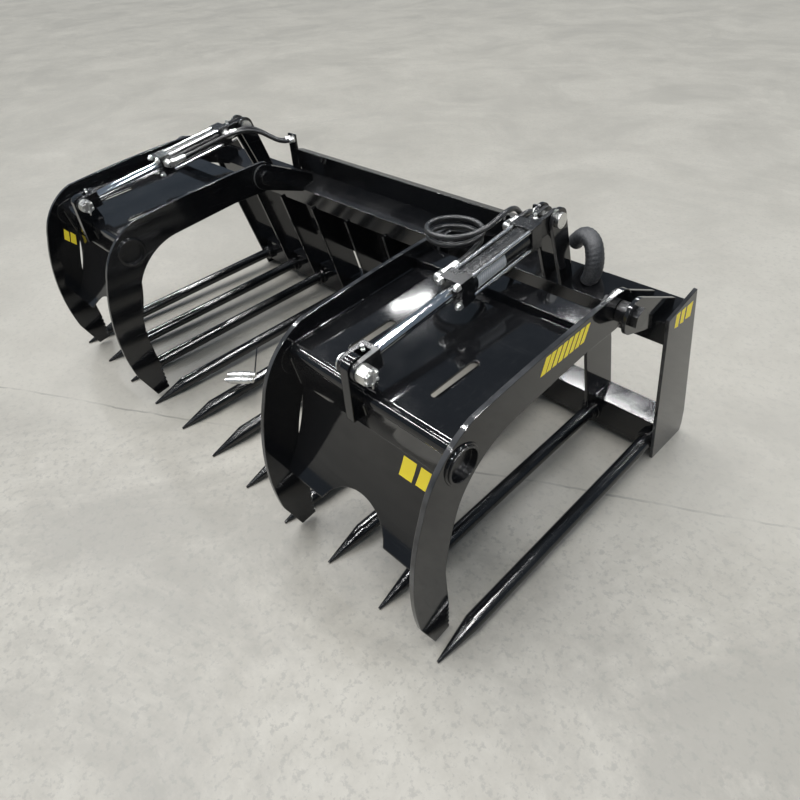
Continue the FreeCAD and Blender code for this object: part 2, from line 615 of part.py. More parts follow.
# Cylinder brackets stand on the beam, two plates for each cylinder.
CYLINDER_MIDDLE = "((claw_outer + claw_inner) / 2 - cylinder_inset)"
BASE_PIN = ("-base_pin_forward", "base_pin_height")
BRACKET_SLOPE = (f"atan((-base_pin_forward - bracket_radius - {BEAM_FRONT_TOP[0]})"
                 f" / (base_pin_height - {BEAM_FRONT_TOP[1]}))")
BRACKET_OUTLINE = [
    ("-bracket_heel", beam_top("bracket_heel")),
    BEAM_FRONT_TOP,
    (f"(-base_pin_forward - bracket_radius * cos({BRACKET_SLOPE}))",
     f"(base_pin_height + bracket_radius * sin({BRACKET_SLOPE}))"),
    ("(-base_pin_forward + bracket_radius * cos(20))", "(base_pin_height + bracket_radius * sin(20))",
     ("(-base_pin_forward - bracket_radius * sin(10))", "(base_pin_height + bracket_radius * cos(10))")),
]
for name, side in SIDES:
    plates = []
    for offset in ("- bracket_offset", "+ bracket_offset"):
        bracket = plate("Bracket", BRACKET_OUTLINE, "bracket_wall", [BASE_PIN + ("cylinder_pin_dia",)])
        place = f"{side} * {CYLINDER_MIDDLE} {offset} - bracket_wall / 2"
        plates.append(seat(bracket, place, of_node=False))
    seat(node(group(plates, "CylinderBracket" + name), f"cylinder_bracket_{name}"))

# Base pins lie in the brackets and carry the cylinders' caps.
PIN_HALF = "(bracket_offset + bracket_wall / 2)"
base_pins = []
for name, side in SIDES:
    pin = turned("BasePin", [
        (f"-{PIN_HALF} - pin_head_tall", "pin_head_dia"),
        (f"-{PIN_HALF}", "cylinder_pin_dia"),
        (f"{PIN_HALF}", "pin_head_dia"),
        (f"{PIN_HALF} + pin_head_tall", "pin_head_dia"),
    ])
    base_pins.append(seat(pin, f"{side} * {CYLINDER_MIDDLE}", *BASE_PIN, of_node=False))
seat(node(group(base_pins, "BasePins"), "base_pins"))


# Places on a claw are given ahead of and above its hinge.
def on_claw(forward, rise):
    return (f"(-pivot_forward - ({forward}))", f"(pivot_height + ({rise}))")


TOOTH_COUNT = 5
CLAW_OUTLINE = [
    on_claw("0", "hub_radius"),
    on_claw("shoulder_forward", "shoulder_rise") + (on_claw("crown_forward", "crown_rise"),),
    on_claw("cheek_forward", "-cheek_drop") + (on_claw("brow_forward", "-brow_drop"),),
    on_claw("jaw_forward", "-jaw_drop") + (on_claw("claw_reach", "-reach_drop"),),
    on_claw("tip_forward", "-tip_drop"),
    on_claw("toe_forward", "-toe_drop"),
]
for index in range(TOOTH_COUNT):
    CLAW_OUTLINE.append(on_claw("toe_forward", f"-toe_drop + tooth_pitch * {index + 0.6}"))
    CLAW_OUTLINE.append(on_claw("toe_forward + tooth_depth", f"-toe_drop + tooth_pitch * {index + 0.75}"))
    CLAW_OUTLINE.append(on_claw("toe_forward", f"-toe_drop + tooth_pitch * {index + 1.25}"))
CLAW_OUTLINE += [
    on_claw("throat_forward", "-throat_drop"),
    on_claw("palm_forward", "-palm_drop") + (on_claw("palm_mid_forward", "-palm_mid_drop"),),
    on_claw("roof_forward", "-roof_drop") + (on_claw("roof_mid_forward", "-roof_mid_drop"),),
    on_claw("loin_forward", "-loin_drop"),
    on_claw("0", "-hub_radius"),
    on_claw("0", "hub_radius") + (on_claw("-hub_radius", "0"),),
]
# The first corner is where the round rear end comes back, so it is given once, at the end of the list.
CLAW_OUTLINE = CLAW_OUTLINE[1:]
RING_HOLE = on_claw("ring_forward", "-ring_drop") + ("ring_dia",)
SHEET_WIDTH = "(claw_outer - claw_inner - claw_wall)"
SHEET_START = "(claw_inner + claw_wall / 2)"


# The top surface of the claw's top sheet at a place ahead of the hinge.
def sheet_top(forward):
    share = "((" + forward + ") - rear_tube_forward - rear_tube_depth)"
    run = "(sheet_front_forward - rear_tube_forward - rear_tube_depth)"
    return f"(-sheet_rear_drop - (sheet_front_drop - sheet_rear_drop) * {share} / {run})"


TOP_SHEET_REAR = "(rear_tube_forward + rear_tube_depth)"
BEND_MIDDLE = ("(nose_forward * 0.72 + sheet_front_forward * 0.28)", "(-(sheet_front_drop * 0.72 + nose_drop * 0.28))")
TOP_SHEET_OUTLINE = [
    on_claw(TOP_SHEET_REAR, "-sheet_rear_drop"),
    on_claw("sheet_front_forward", "-sheet_front_drop"),
    on_claw("nose_forward", "-nose_drop") + (on_claw(*BEND_MIDDLE),),
    on_claw("nose_forward - sheet_wall", "-nose_drop"),
    on_claw("sheet_front_forward", "-sheet_front_drop - sheet_wall")
    + (on_claw(f"({BEND_MIDDLE[0]} - sheet_wall * 0.7)", f"({BEND_MIDDLE[1]} - sheet_wall * 0.7)"),),
    on_claw(TOP_SHEET_REAR, "-sheet_rear_drop - sheet_wall"),
]
FRONT_SHEET_OUTLINE = [
    on_claw("nose_forward", "-nose_drop"),
    on_claw("waist_forward", "-waist_drop"),
    on_claw("lip_forward", "-lip_low") + (on_claw("flare_forward", "-flare_drop"),),
    on_claw("lip_forward - sheet_wall", "-lip_low"),
    on_claw("waist_forward - sheet_wall", "-waist_drop")
    + (on_claw("flare_forward - sheet_wall", "-flare_drop"),),
    on_claw("nose_forward - sheet_wall", "-nose_drop"),
]
ROD_PIN = on_claw("rod_pin_forward", "rod_pin_rise")
LUG_OUTLINE = [
    on_claw("lug_front", "-lug_low"),
    on_claw("nose_forward - (nose_forward - waist_forward) * (lug_low - nose_drop) / (waist_drop - nose_drop)",
            "-lug_low"),
    on_claw("nose_forward", "-nose_drop"),
    on_claw("sheet_front_forward", "-sheet_front_drop") + (on_claw(*BEND_MIDDLE),),
    on_claw("lug_rear", sheet_top("lug_rear")),
    on_claw("rod_pin_forward - lug_radius * cos(20)", "rod_pin_rise + lug_radius * sin(20)"),
    on_claw("lug_front", "rod_pin_rise + sqrt(lug_radius * lug_radius - pow(lug_front - rod_pin_forward; 2))")
    + (on_claw("rod_pin_forward", "rod_pin_rise + lug_radius"),),
]


def obround(sketch, across, forward, length, width):
    half_straight = f"(({length}) - ({width})) / 2"
    low = f"(-pivot_forward - ({forward}) - {half_straight})"
    high = f"(-pivot_forward - ({forward}) + {half_straight})"
    left = f"({across} - ({width}) / 2)"
    right = f"({across} + ({width}) / 2)"
    draw_outline(sketch, [
        (left, low),
        (left, high),
        (right, high, (across, f"({high} + ({width}) / 2)")),
        (right, low),
        (left, low, (across, f"({low} - ({width}) / 2)")),
    ][1:])


def pocket_down(body, sketch, height):
    feature = body.newObject("PartDesign::Pocket", "Pocket")
    feature.Profile = sketch
    feature.Midplane = True
    bind(feature, Length=height)
    sketch.Visibility = False
    return feature


for name, side in SIDES:
    # Claw plates, both cut to one outline with gripping teeth near the tip.
    for part_name, place in (("outer", "claw_outer - claw_wall / 2"), ("inner", "claw_inner - claw_wall / 2")):
        claw = plate("ClawPlate", CLAW_OUTLINE, "claw_wall", [HINGE_HOLE, RING_HOLE])
        seat(node(claw, f"{name}_claw_plate_{part_name}"), mirrored(f"({place})", "claw_wall", side))

    # Pipe rings: short lengths of pipe welded through the plates, each closed by a disc at its inner end.
    RING_LENGTH = "(claw_wall + ring_stand)"
    rings = []
    for end, place in (("outer", "(claw_outer - claw_wall / 2)"), ("inner", "(claw_inner - claw_wall / 2 - ring_stand)")):
        ring_body = new_body("PipeRing")
        ring_sketch = new_sketch(ring_body, "YZ_Plane", "RingSection")
        draw_circle(ring_sketch, "0", "0", "ring_dia")
        draw_circle(ring_sketch, "0", "0", "ring_dia - 2 * ring_wall")
        pad(ring_body, ring_sketch, RING_LENGTH)
        closed_at_start = (side > 0) == (end == "outer")
        floor_sketch = new_sketch(ring_body, "YZ_Plane", "RingFloor", "0" if closed_at_start else f"{RING_LENGTH} - ring_floor")
        draw_circle(floor_sketch, "0", "0", "ring_dia")
        pad(ring_body, floor_sketch, "ring_floor")
        rings.append(seat(ring_body, mirrored(place, RING_LENGTH, side), *RING_HOLE[:2], of_node=False))
    seat(node(group(rings, "PipeRings" + name), f"{name}_pipe_rings"))

    # The rear tube ties the plates just ahead of the hinge.
    rear_body = new_body("RearTube")
    rear_sketch = new_sketch(rear_body, "YZ_Plane", "RearTubeSection")
    draw_outline(rear_sketch, [
        ("0", "0"), ("0", "rear_tube_tall"), ("-rear_tube_depth", "rear_tube_tall"), ("-rear_tube_depth", "0")])
    draw_outline(rear_sketch, [
        ("-rear_tube_wall", "rear_tube_wall"),
        ("-rear_tube_wall", "rear_tube_tall - rear_tube_wall"),
        ("rear_tube_wall - rear_tube_depth", "rear_tube_tall - rear_tube_wall"),
        ("rear_tube_wall - rear_tube_depth", "rear_tube_wall"),
    ])
    pad(rear_body, rear_sketch, SHEET_WIDTH)
    seat(node(rear_body, f"{name}_rear_tube"), mirrored(SHEET_START, SHEET_WIDTH, side),
         *on_claw("rear_tube_forward", "-rear_tube_drop"))

    # Top sheet, bent down at its front, with two slots through it.
    top = plate("TopSheet", TOP_SHEET_OUTLINE, SHEET_WIDTH)
    slot_sketch = new_sketch(top, "XY_Plane", "Slots", "pivot_height")
    for sign in ("-", "+"):
        obround(slot_sketch, f"({SHEET_WIDTH} / 2 {sign} slot_offset)", "slot_forward", "slot_length", "slot_width")
    pocket_down(top, slot_sketch, "4 * sheet_front_drop")
    seat(node(top, f"{name}_top_sheet"), mirrored(SHEET_START, SHEET_WIDTH, side))

    # Front sheet, flared forward, with an arch in the middle of its lower edge.
    front = plate("FrontSheet", FRONT_SHEET_OUTLINE, SHEET_WIDTH)
    arch_sketch = new_sketch(front, "XZ_Plane", "Arch")
    MIDDLE = f"({SHEET_WIDTH} / 2)"
    ARCH_TOP = "(pivot_height - lip_low + arch_rise)"
    ARCH_LOW = "(pivot_height - lip_low - arch_rise)"
    draw_outline(arch_sketch, [
        (f"({MIDDLE} - arch_half_width)", ARCH_LOW),
        (f"({MIDDLE} - arch_half_width)", "(pivot_height - lip_low)"),
        (f"({MIDDLE} + arch_half_width)", "(pivot_height - lip_low)", (MIDDLE, ARCH_TOP)),
        (f"({MIDDLE} + arch_half_width)", ARCH_LOW),
    ])
    arch = front.newObject("PartDesign::Pocket", "ArchCut")
    arch.Profile = arch_sketch
    arch.Midplane = True
    bind(arch, Length="4 * (pivot_forward + claw_reach)")
    arch_sketch.Visibility = False
    seat(node(front, f"{name}_front_sheet"), mirrored(SHEET_START, SHEET_WIDTH, side))

    # Rod lug: one thick plate over the front bend, between the arms of the rod's fork, which hide its wide hole.
    lug = plate("RodLug", LUG_OUTLINE, "lug_thickness", [ROD_PIN + ("lug_hole_dia",)])
    seat(node(lug, f"{name}_rod_lug"), f"{side} * {CYLINDER_MIDDLE} - lug_thickness / 2")

# The cylinder's axis runs from the base pin down to the rod pin.
PIN_RUN = "(pivot_forward + rod_pin_forward - base_pin_forward)"
PIN_FALL = "(base_pin_height - pivot_height - rod_pin_rise)"
AXIS_TILT = f"atan({PIN_FALL} / {PIN_RUN})"
PIN_TO_PIN = f"sqrt({PIN_RUN} * {PIN_RUN} + {PIN_FALL} * {PIN_FALL})"


# Pieces of a cylinder are made along -Y from the base pin and then tilted onto its axis.
def seat_on_axis(item, side, label):
    seat(node(item, label), f"{side} * {CYLINDER_MIDDLE}", *BASE_PIN, SIDEWAYS, AXIS_TILT)


# A port adapter on the side of a head that faces the centre line, with a crimped hose end that points back.
def add_port(body, side, place, hose_start):
    reach = "(port_offset + hose_end_dia / 2)"
    start = f"-{reach}" if side > 0 else "head_side / 2 - 1"
    boss = new_sketch(body, "YZ_Plane", "PortBoss", start)
    draw_circle(boss, f"-{place}", "port_rise", "port_boss_dia")
    pad(body, boss, f"{reach} - head_side / 2 + 1")
    hose_end = new_sketch(body, "XZ_Plane", "HoseEnd", hose_start)
    draw_circle(hose_end, f"{-side} * port_offset", "port_rise", "hose_end_dia")
    pad(body, hose_end, f"{place} - {hose_start}")


def square(sketch, side_length):
    half = f"({side_length}) / 2"
    draw_outline(sketch, [(f"-{half}", f"-{half}"), (half, f"-{half}"), (half, half), (f"-{half}", half)])


for name, side in SIDES:
    # Cap head: a square block with a clevis behind it that turns on the base pin.
    cap = new_body("CapHead")
    side_view = new_sketch(cap, "YZ_Plane", "CapClevis", "-cap_clevis_width / 2")
    draw_outline(side_view, [
        ("-cap_start", "-clevis_half_tall"),
        ("0", "-clevis_half_tall"),
        ("0", "clevis_half_tall", ("clevis_half_tall", "0")),
        ("-cap_start", "clevis_half_tall"),
    ])
    draw_circle(side_view, "0", "0", "cylinder_pin_dia + 2 * running_gap")
    pad(cap, side_view, "cap_clevis_width")
    gap = new_sketch(cap, "YZ_Plane", "ClevisGap")
    draw_outline(gap, [
        ("clevis_half_tall - cap_start", "-2 * clevis_half_tall"),
        ("2 * clevis_half_tall", "-2 * clevis_half_tall"),
        ("2 * clevis_half_tall", "2 * clevis_half_tall"),
        ("clevis_half_tall - cap_start", "2 * clevis_half_tall"),
    ])
    pocket_down(cap, gap, "cap_clevis_slot")
    block = new_sketch(cap, "XZ_Plane", "CapBlock", "cap_start")
    square(block, "head_side")
    pad(cap, block, "cap_long")
    add_port(cap, side, "(cap_start + cap_long / 2)", "cap_hose_start")
    seat_on_axis(cap, side, f"{name}_cap_head")

    # Barrel tube, held between the heads by four tie rods.
    BARREL_START = "(cap_start + cap_long)"
    barrel = new_body("Barrel")
    barrel_sketch = new_sketch(barrel, "XZ_Plane", "BarrelSection", BARREL_START)
    draw_circle(barrel_sketch, "0", "0", "barrel_dia")
    draw_circle(barrel_sketch, "0", "0", "barrel_dia - 2 * barrel_wall")
    pad(barrel, barrel_sketch, f"gland_start - {BARREL_START}")
    seat_on_axis(barrel, side, f"{name}_barrel")

    # Gland head: a square block that the rod slides through.
    gland = new_body("GlandHead")
    gland_sketch = new_sketch(gland, "XZ_Plane", "GlandBlock", "gland_start")
    square(gland_sketch, "head_side")
    draw_circle(gland_sketch, "0", "0", "rod_dia + 2 * running_gap")
    pad(gland, gland_sketch, "gland_long")
    add_port(gland, side, "(gland_start + gland_long / 2)", "gland_hose_start")
    seat_on_axis(gland, side, f"{name}_gland_head")

    # Tie rods run beside the barrel from head to head, with their nuts on the gland head's face.
    rods = new_body("TieRods")
    rod_sketch = new_sketch(rods, "XZ_Plane", "TieRodSections", BARREL_START)
    nut_sketch = new_sketch(rods, "XZ_Plane", "TieNutSections", "gland_start + gland_long")
    for across in ("-tie_rod_offset", "tie_rod_offset"):
        for up in ("-tie_rod_offset", "tie_rod_offset"):
            draw_circle(rod_sketch, across, up, "tie_rod_dia")
            draw_circle(nut_sketch, across, up, "tie_nut_dia")
    pad(rods, rod_sketch, f"gland_start - {BARREL_START}")
    pad(rods, nut_sketch, "tie_nut_tall")
    seat_on_axis(rods, side, f"{name}_tie_rods")

    # Piston rod, seen between the gland head and its clevis.
    rod = new_body("PistonRod")
    rod_section = new_sketch(rod, "XZ_Plane", "RodSection", "gland_start - rod_inside")
    draw_circle(rod_section, "0", "0", "rod_dia")
    pad(rod, rod_section, f"{PIN_TO_PIN} - fork_long - gland_start + rod_inside")
    seat_on_axis(rod, side, f"{name}_rod")

    # Rod clevis: a fork whose two arms stand beside the rod lug.
    clevis = new_body("RodClevis")
    clevis_view = new_sketch(clevis, "YZ_Plane", "ClevisSide", "-fork_width / 2")
    draw_outline(clevis_view, [
        (f"fork_long - {PIN_TO_PIN}", "-clevis_half_tall"),
        (f"fork_long - {PIN_TO_PIN}", "clevis_half_tall"),
        (f"-{PIN_TO_PIN}", "clevis_half_tall"),
        (f"-{PIN_TO_PIN}", "-clevis_half_tall", (f"(-{PIN_TO_PIN} - clevis_half_tall)", "0")),
    ])
    draw_circle(clevis_view, f"-{PIN_TO_PIN}", "0", "cylinder_pin_dia")
    pad(clevis, clevis_view, "fork_width")
    fork_gap = new_sketch(clevis, "YZ_Plane", "ForkGap")
    draw_outline(fork_gap, [
        (f"fork_slot - {PIN_TO_PIN}", "-2 * clevis_half_tall"),
        (f"fork_slot - {PIN_TO_PIN}", "2 * clevis_half_tall"),
        (f"-{PIN_TO_PIN} - 2 * clevis_half_tall", "2 * clevis_half_tall"),
        (f"-{PIN_TO_PIN} - 2 * clevis_half_tall", "-2 * clevis_half_tall"),
    ])
    pocket_down(clevis, fork_gap, "lug_thickness + 2 * side_gap")
    seat_on_axis(clevis, side, f"{name}_rod_clevis")

    # Rod pin: a round head beside one arm of the fork, a washer and a castle nut beside the other.
    FORK_HALF = "(fork_width / 2)"
    pin = turned("RodPin", [
        (f"-{FORK_HALF} - pin_head_tall", "pin_head_dia"),
        (f"-{FORK_HALF}", "cylinder_pin_dia"),
        (FORK_HALF, "washer_dia"),
        (f"{FORK_HALF} + washer_tall", "cylinder_pin_dia"),
        (f"{FORK_HALF} + washer_tall + castle_nut_tall + pin_end", "cylinder_pin_dia"),
    ])
    seat(pin, "0", "0", "0", of_node=False)
    castle = hexagon("CastleNut", "castle_nut_across", "castle_nut_tall")
    seat(castle, f"{FORK_HALF} + washer_tall", "0", "0", ALONG_X, "90", of_node=False)
    pin_fuse = doc.addObject("Part::Fuse", "RodPinAndNut")
    pin_fuse.Base = pin
    pin_fuse.Tool = castle
    seat(node(pin_fuse, f"{name}_rod_pin"), f"{side} * {CYLINDER_MIDDLE}", *ROD_PIN)

# Two pipe unions for each cylinder's hoses, through an upright plate on the beam beside the quick-attach plate.
UNION_MIDDLE = "(union_first + union_pitch / 2)"
UNION_PLATE_FRONT = "(union_front - union_long)"
plates = []
for name, side in SIDES:
    upright = new_body("UnionPlate")
    upright_view = new_sketch(upright, "YZ_Plane", "UnionPlateSide", "-union_plate_width / 2")
    draw_outline(upright_view, [
        (f"-{UNION_PLATE_FRONT}", beam_top(UNION_PLATE_FRONT)),
        (f"-{UNION_PLATE_FRONT}", "union_plate_top"),
        (f"union_plate_wall - {UNION_PLATE_FRONT}", "union_plate_top"),
        (f"union_plate_wall - {UNION_PLATE_FRONT}", beam_top(f"{UNION_PLATE_FRONT} - union_plate_wall")),
    ][::-1])
    pad(upright, upright_view, "union_plate_width")
    unions = new_sketch(upright, "XZ_Plane", "Unions", "union_front - union_long - union_plate_wall")
    for sign in ("-", ""):
        draw_circle(unions, f"{sign}union_pitch / 2", "union_height", "union_dia")
    pad(upright, unions, "union_long + union_plate_wall")
    plates.append(seat(upright, f"{side} * ({CYLINDER_MIDDLE} - {UNION_MIDDLE})", of_node=False))
seat(node(group(plates, "UnionPlates"), "hose_unions"))


# A place on the line of a cylinder's hose ends: distance from the middle, place to the rear and height.
def hose_end_place(along):
    tilt = math.radians(value_of(AXIS_TILT))
    run = value_of(along)
    rise = value_of("port_rise")
    return (value_of("port_offset"),
            -value_of("base_pin_forward") - run * math.cos(tilt) - rise * math.sin(tilt),
            value_of("base_pin_height") - run * math.sin(tilt) + rise * math.cos(tilt))


# A hose is a tube along straight runs joined by arcs, which are as large as their runs allow.
def hose(label, side, points):
    middle = value_of(CYLINDER_MIDDLE)
    places = [Vector(side * (middle - inward), back, height) for inward, back, height in points]
    edges = []
    radii = []
    start = places[0]
    for before, corner, after in zip(places, places[1:], places[2:]):
        into = (corner - before).normalize()
        out = (after - corner).normalize()
        half_turn = into.getAngle(out) / 2
        trim = 0.45 * min((corner - before).Length, (after - corner).Length)
        radius = trim / math.tan(half_turn)
        radii.append(radius)
        first = corner - into * trim
        last = corner + out * trim
        inside = (out - into).normalize()
        middle_point = corner + inside * (radius / math.cos(half_turn) - radius)
        edges.append(Part.LineSegment(start, first).toShape())
        edges.append(Part.Arc(first, middle_point, last).toShape())
        start = last
    edges.append(Part.LineSegment(start, places[-1]).toShape())
    path = Part.Wire(edges)
    hose_radius = value_of("hose_dia") / 2
    ring = Part.Wire(Part.makeCircle(hose_radius, places[0], places[1] - places[0]))
    tube = path.makePipeShell([ring], True, True)
    share = tube.Volume / (math.pi * hose_radius * hose_radius * path.Length)
    print(f"{label}: length {path.Length:.1f}, smallest radius {min(radii):.0f}, volume share {share:.4f}")
    item = doc.addObject("Part::Feature", label)
    item.Shape = tube
    seat(node(item, label))


# Turns of the coil: points a twelfth of a turn apart round its middle, with the turns growing and rising.
COIL_MIDDLE = (120, -415)
COIL_POINTS = []
for step in range(25):
    angle = math.radians(30 * step)
    reach = 66 + 0.34 * step
    COIL_POINTS.append((COIL_MIDDLE[0] - reach * math.cos(angle), COIL_MIDDLE[1] + reach * math.sin(angle),
                        746 + 1.75 * step))
GLAND_HOSE_END = [(107, -180, 757), (119, -151, 735), (129, -125, 717), (135, -101, 707.5), (136.5, -80, 705),
                  (136.5, -62, 705)]
GLAND_HOSE_RIGHT = [(56, -446, 741.3)] + COIL_POINTS + [
    (50, -372, 794), (58, -328, 797), (69, -286, 796), (81, -245, 789), (94, -210, 775)] + GLAND_HOSE_END
GLAND_HOSE_LEFT = [(56, -443, 741.8), (62, -400, 751), (72, -355, 762), (81, -310, 771), (88, -264, 776),
                   (96, -220, 772)] + GLAND_HOSE_END
CAP_HOSE = [(56, -222, 774.6), (61, -191, 770), (74, -161, 754), (90, -135, 733), (103, -111, 715), (110.5, -91, 706.5),
            (112.5, -76, 705), (112.5, -62, 705)]
for name, side, gland_hose in (("left", -1, GLAND_HOSE_LEFT), ("right", 1, GLAND_HOSE_RIGHT)):
    hose(f"{name}_gland_hose", side, [hose_end_place("gland_hose_start")] + gland_hose)
    hose(f"{name}_cap_hose", side, [hose_end_place("cap_hose_start")] + CAP_HOSE)

doc.recompute()

# Nothing is written unless every object is whole.
for item in doc.Objects:
    if "Invalid" in item.State or "Error" in item.State:
        raise RuntimeError(f"{item.Name} ({item.Label}) failed: {item.State}")
for label, item in nodes.items():
    if item.Shape.isNull() or not item.Shape.isValid() or not item.Shape.Solids:
        raise RuntimeError(f"{label} has no valid solid")

os.makedirs("parts", exist_ok=True)
for label, item in nodes.items():
    item.Shape.exportStep(f"parts/{label}.step")

whole = Part.makeCompound([item.Shape for item in nodes.values()]).BoundBox
print(f"{len(nodes)} sub-parts, X {whole.XMin:.1f} {whole.XMax:.1f}, Y {whole.YMin:.1f} {whole.YMax:.1f}, "
      f"Z {whole.ZMin:.1f} {whole.ZMax:.1f}")
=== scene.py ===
import math

import bmesh
import bpy
from mathutils import Matrix, Vector


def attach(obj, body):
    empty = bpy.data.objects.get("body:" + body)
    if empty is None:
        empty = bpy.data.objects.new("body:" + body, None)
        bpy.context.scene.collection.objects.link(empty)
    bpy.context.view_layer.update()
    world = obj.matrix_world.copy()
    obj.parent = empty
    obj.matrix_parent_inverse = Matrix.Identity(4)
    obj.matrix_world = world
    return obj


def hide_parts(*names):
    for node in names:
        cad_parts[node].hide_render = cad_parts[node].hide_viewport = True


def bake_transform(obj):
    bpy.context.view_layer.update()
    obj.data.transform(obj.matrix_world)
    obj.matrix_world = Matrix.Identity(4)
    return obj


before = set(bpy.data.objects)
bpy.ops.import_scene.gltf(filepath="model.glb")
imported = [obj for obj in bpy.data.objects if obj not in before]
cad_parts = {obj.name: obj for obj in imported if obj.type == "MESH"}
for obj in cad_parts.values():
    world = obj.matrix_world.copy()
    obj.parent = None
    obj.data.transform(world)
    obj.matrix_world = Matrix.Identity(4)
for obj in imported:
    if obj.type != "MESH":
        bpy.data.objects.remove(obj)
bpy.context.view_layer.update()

# Camera: a phone held at eye height at the machine's front right corner,
# looking down over the right claw. Its place was fitted to the photograph.
camera_data = bpy.data.cameras.new("phone_camera")
camera_data.lens = 27.393
camera_data.sensor_width = 36.0
camera_data.shift_x = 0.0011
camera_data.shift_y = 0.0015
camera_data.clip_end = 200.0
camera = bpy.data.objects.new("phone_camera", camera_data)
camera_right = Vector((0.69747501, 0.71438156, -0.05645882))
camera_up = Vector((-0.42620463, 0.476872, 0.76872798))
camera_back = Vector((0.57608872, -0.51210555, 0.63707903))
camera_place = Vector((1.54499, -1.07536, 1.42096))
camera.matrix_world = Matrix((
    (camera_right.x, camera_up.x, camera_back.x, camera_place.x),
    (camera_right.y, camera_up.y, camera_back.y, camera_place.y),
    (camera_right.z, camera_up.z, camera_back.z, camera_place.z),
    (0.0, 0.0, 0.0, 1.0),
))
bpy.context.scene.collection.objects.link(camera)
bpy.context.scene.camera = camera
bpy.context.scene.view_settings.view_transform = "Standard"


# Shop floor: pale trowelled concrete with cloudy patches, darker stains, a light sheen and
# one worn joint running under the machine. It is stage, not part of the grapple.
def new_material(name):
    material = bpy.data.materials.new(name)
    material.use_nodes = True
    tree = material.node_tree
    return material, tree.nodes, tree.links, tree.nodes["Principled BSDF"]


def set_sockets(node, **values):
    for label, value in values.items():
        node.inputs[label.replace("_", " ")].default_value = value
    return node


def object_place(nodes, links, scale=(1.0, 1.0, 1.0), turn=(0.0, 0.0, 0.0), shift=(0.0, 0.0, 0.0)):
    place = nodes.new("ShaderNodeTexCoord")
    mapping = nodes.new("ShaderNodeMapping")
    mapping.inputs["Location"].default_value = shift
    mapping.inputs["Scale"].default_value = scale
    mapping.inputs["Rotation"].default_value = turn
    links.new(place.outputs["Object"], mapping.inputs["Vector"])
    return mapping.outputs["Vector"]


def noise(nodes, links, vector, scale, detail=3.0, roughness=0.55, distortion=0.0):
    texture = nodes.new("ShaderNodeTexNoise")
    set_sockets(texture, Scale=scale, Detail=detail, Roughness=roughness, Distortion=distortion)
    links.new(vector, texture.inputs["Vector"])
    return texture.outputs["Fac"]


def spread(nodes, links, value, low, high, out_low=0.0, out_high=1.0):
    remap = nodes.new("ShaderNodeMapRange")
    set_sockets(remap, From_Min=low, From_Max=high, To_Min=out_low, To_Max=out_high)
    links.new(value, remap.inputs["Value"])
    return remap.outputs["Result"]


def two_tone(nodes, links, factor, first, second):
    mix = nodes.new("ShaderNodeMix")
    mix.data_type = "RGBA"
    for socket, value in ((mix.inputs["Factor"], factor), (mix.inputs[6], first), (mix.inputs[7], second)):
        if isinstance(value, tuple):
            socket.default_value = value + (1.0,)
        elif isinstance(value, float):
            socket.default_value = value
        else:
            links.new(value, socket)
    return mix.outputs[2]


def multiply(nodes, links, first, second):
    node = nodes.new("ShaderNodeMath")
    node.operation = "MULTIPLY"
    for socket, value in zip(node.inputs, (first, second)):
        if isinstance(value, float):
            socket.default_value = value
        else:
            links.new(value, socket)
    return node.outputs["Value"]


def multiply_add(nodes, links, value, factor, added):
    node = nodes.new("ShaderNodeMath")
    node.operation = "MULTIPLY_ADD"
    links.new(value, node.inputs[0])
    node.inputs[1].default_value = factor
    links.new(added, node.inputs[2])
    return node.outputs["Value"]


def bump(nodes, links, height, strength, distance, before=None):
    node = nodes.new("ShaderNodeBump")
    set_sockets(node, Strength=strength, Distance=distance)
    links.new(height, node.inputs["Height"])
    if before is not None:
        links.new(before, node.inputs["Normal"])
    return node.outputs["Normal"]


JOINT_TURN = 0.4983
JOINT_OFFSET = -0.3183
JOINT_HALF_WIDTH = 0.004
JOINT_WANDER = 0.05
concrete, nodes, links, shader = new_material("pale_concrete")
where = object_place(nodes, links)
clouds = spread(nodes, links, noise(nodes, links, where, 1.5, 8.0, 0.68, 0.6), 0.32, 0.68)
trowel = spread(nodes, links, noise(nodes, links, where, 11.0, 6.0, 0.7), 0.32, 0.68)
patchy = two_tone(nodes, links, clouds, (0.44, 0.408, 0.345), (0.66, 0.622, 0.542))
fine = two_tone(nodes, links, trowel, (0.45, 0.418, 0.355), (0.66, 0.624, 0.546))
plain = two_tone(nodes, links, 0.45, patchy, fine)
stains = spread(nodes, links, noise(nodes, links, where, 0.9, 9.0, 0.72, 0.8), 0.47, 0.60, 0.0, 0.62)
stained = two_tone(nodes, links, stains, plain, (0.36, 0.338, 0.292))
specks = spread(nodes, links, noise(nodes, links, where, 46.0, 3.0, 0.7), 0.53, 0.63, 0.0, 0.5)
speckled = two_tone(nodes, links, specks, stained, (0.36, 0.34, 0.30))
joint_place = nodes.new("ShaderNodeSeparateXYZ")
links.new(object_place(nodes, links, turn=(0.0, 0.0, -JOINT_TURN), shift=(0.0, -JOINT_OFFSET, 0.0)),
          joint_place.inputs["Vector"])
from_joint = multiply_add(nodes, links, noise(nodes, links, where, 2.5, 4.0, 0.6), JOINT_WANDER,
                          joint_place.outputs["Y"])
beside_joint = spread(nodes, links, from_joint, -0.22, 0.0, 0.0, 0.5)
paler = two_tone(nodes, links, beside_joint, speckled, (0.62, 0.585, 0.51))
in_joint = nodes.new("ShaderNodeMath")
in_joint.operation = "COMPARE"
links.new(from_joint, in_joint.inputs[0])
in_joint.inputs[1].default_value = 0.0
in_joint.inputs[2].default_value = JOINT_HALF_WIDTH
joint_wear = spread(nodes, links, noise(nodes, links, where, 5.0, 3.0, 0.6), 0.4, 0.6, 0.1, 0.6)
joint_dirt = multiply(nodes, links, in_joint.outputs["Value"], joint_wear)
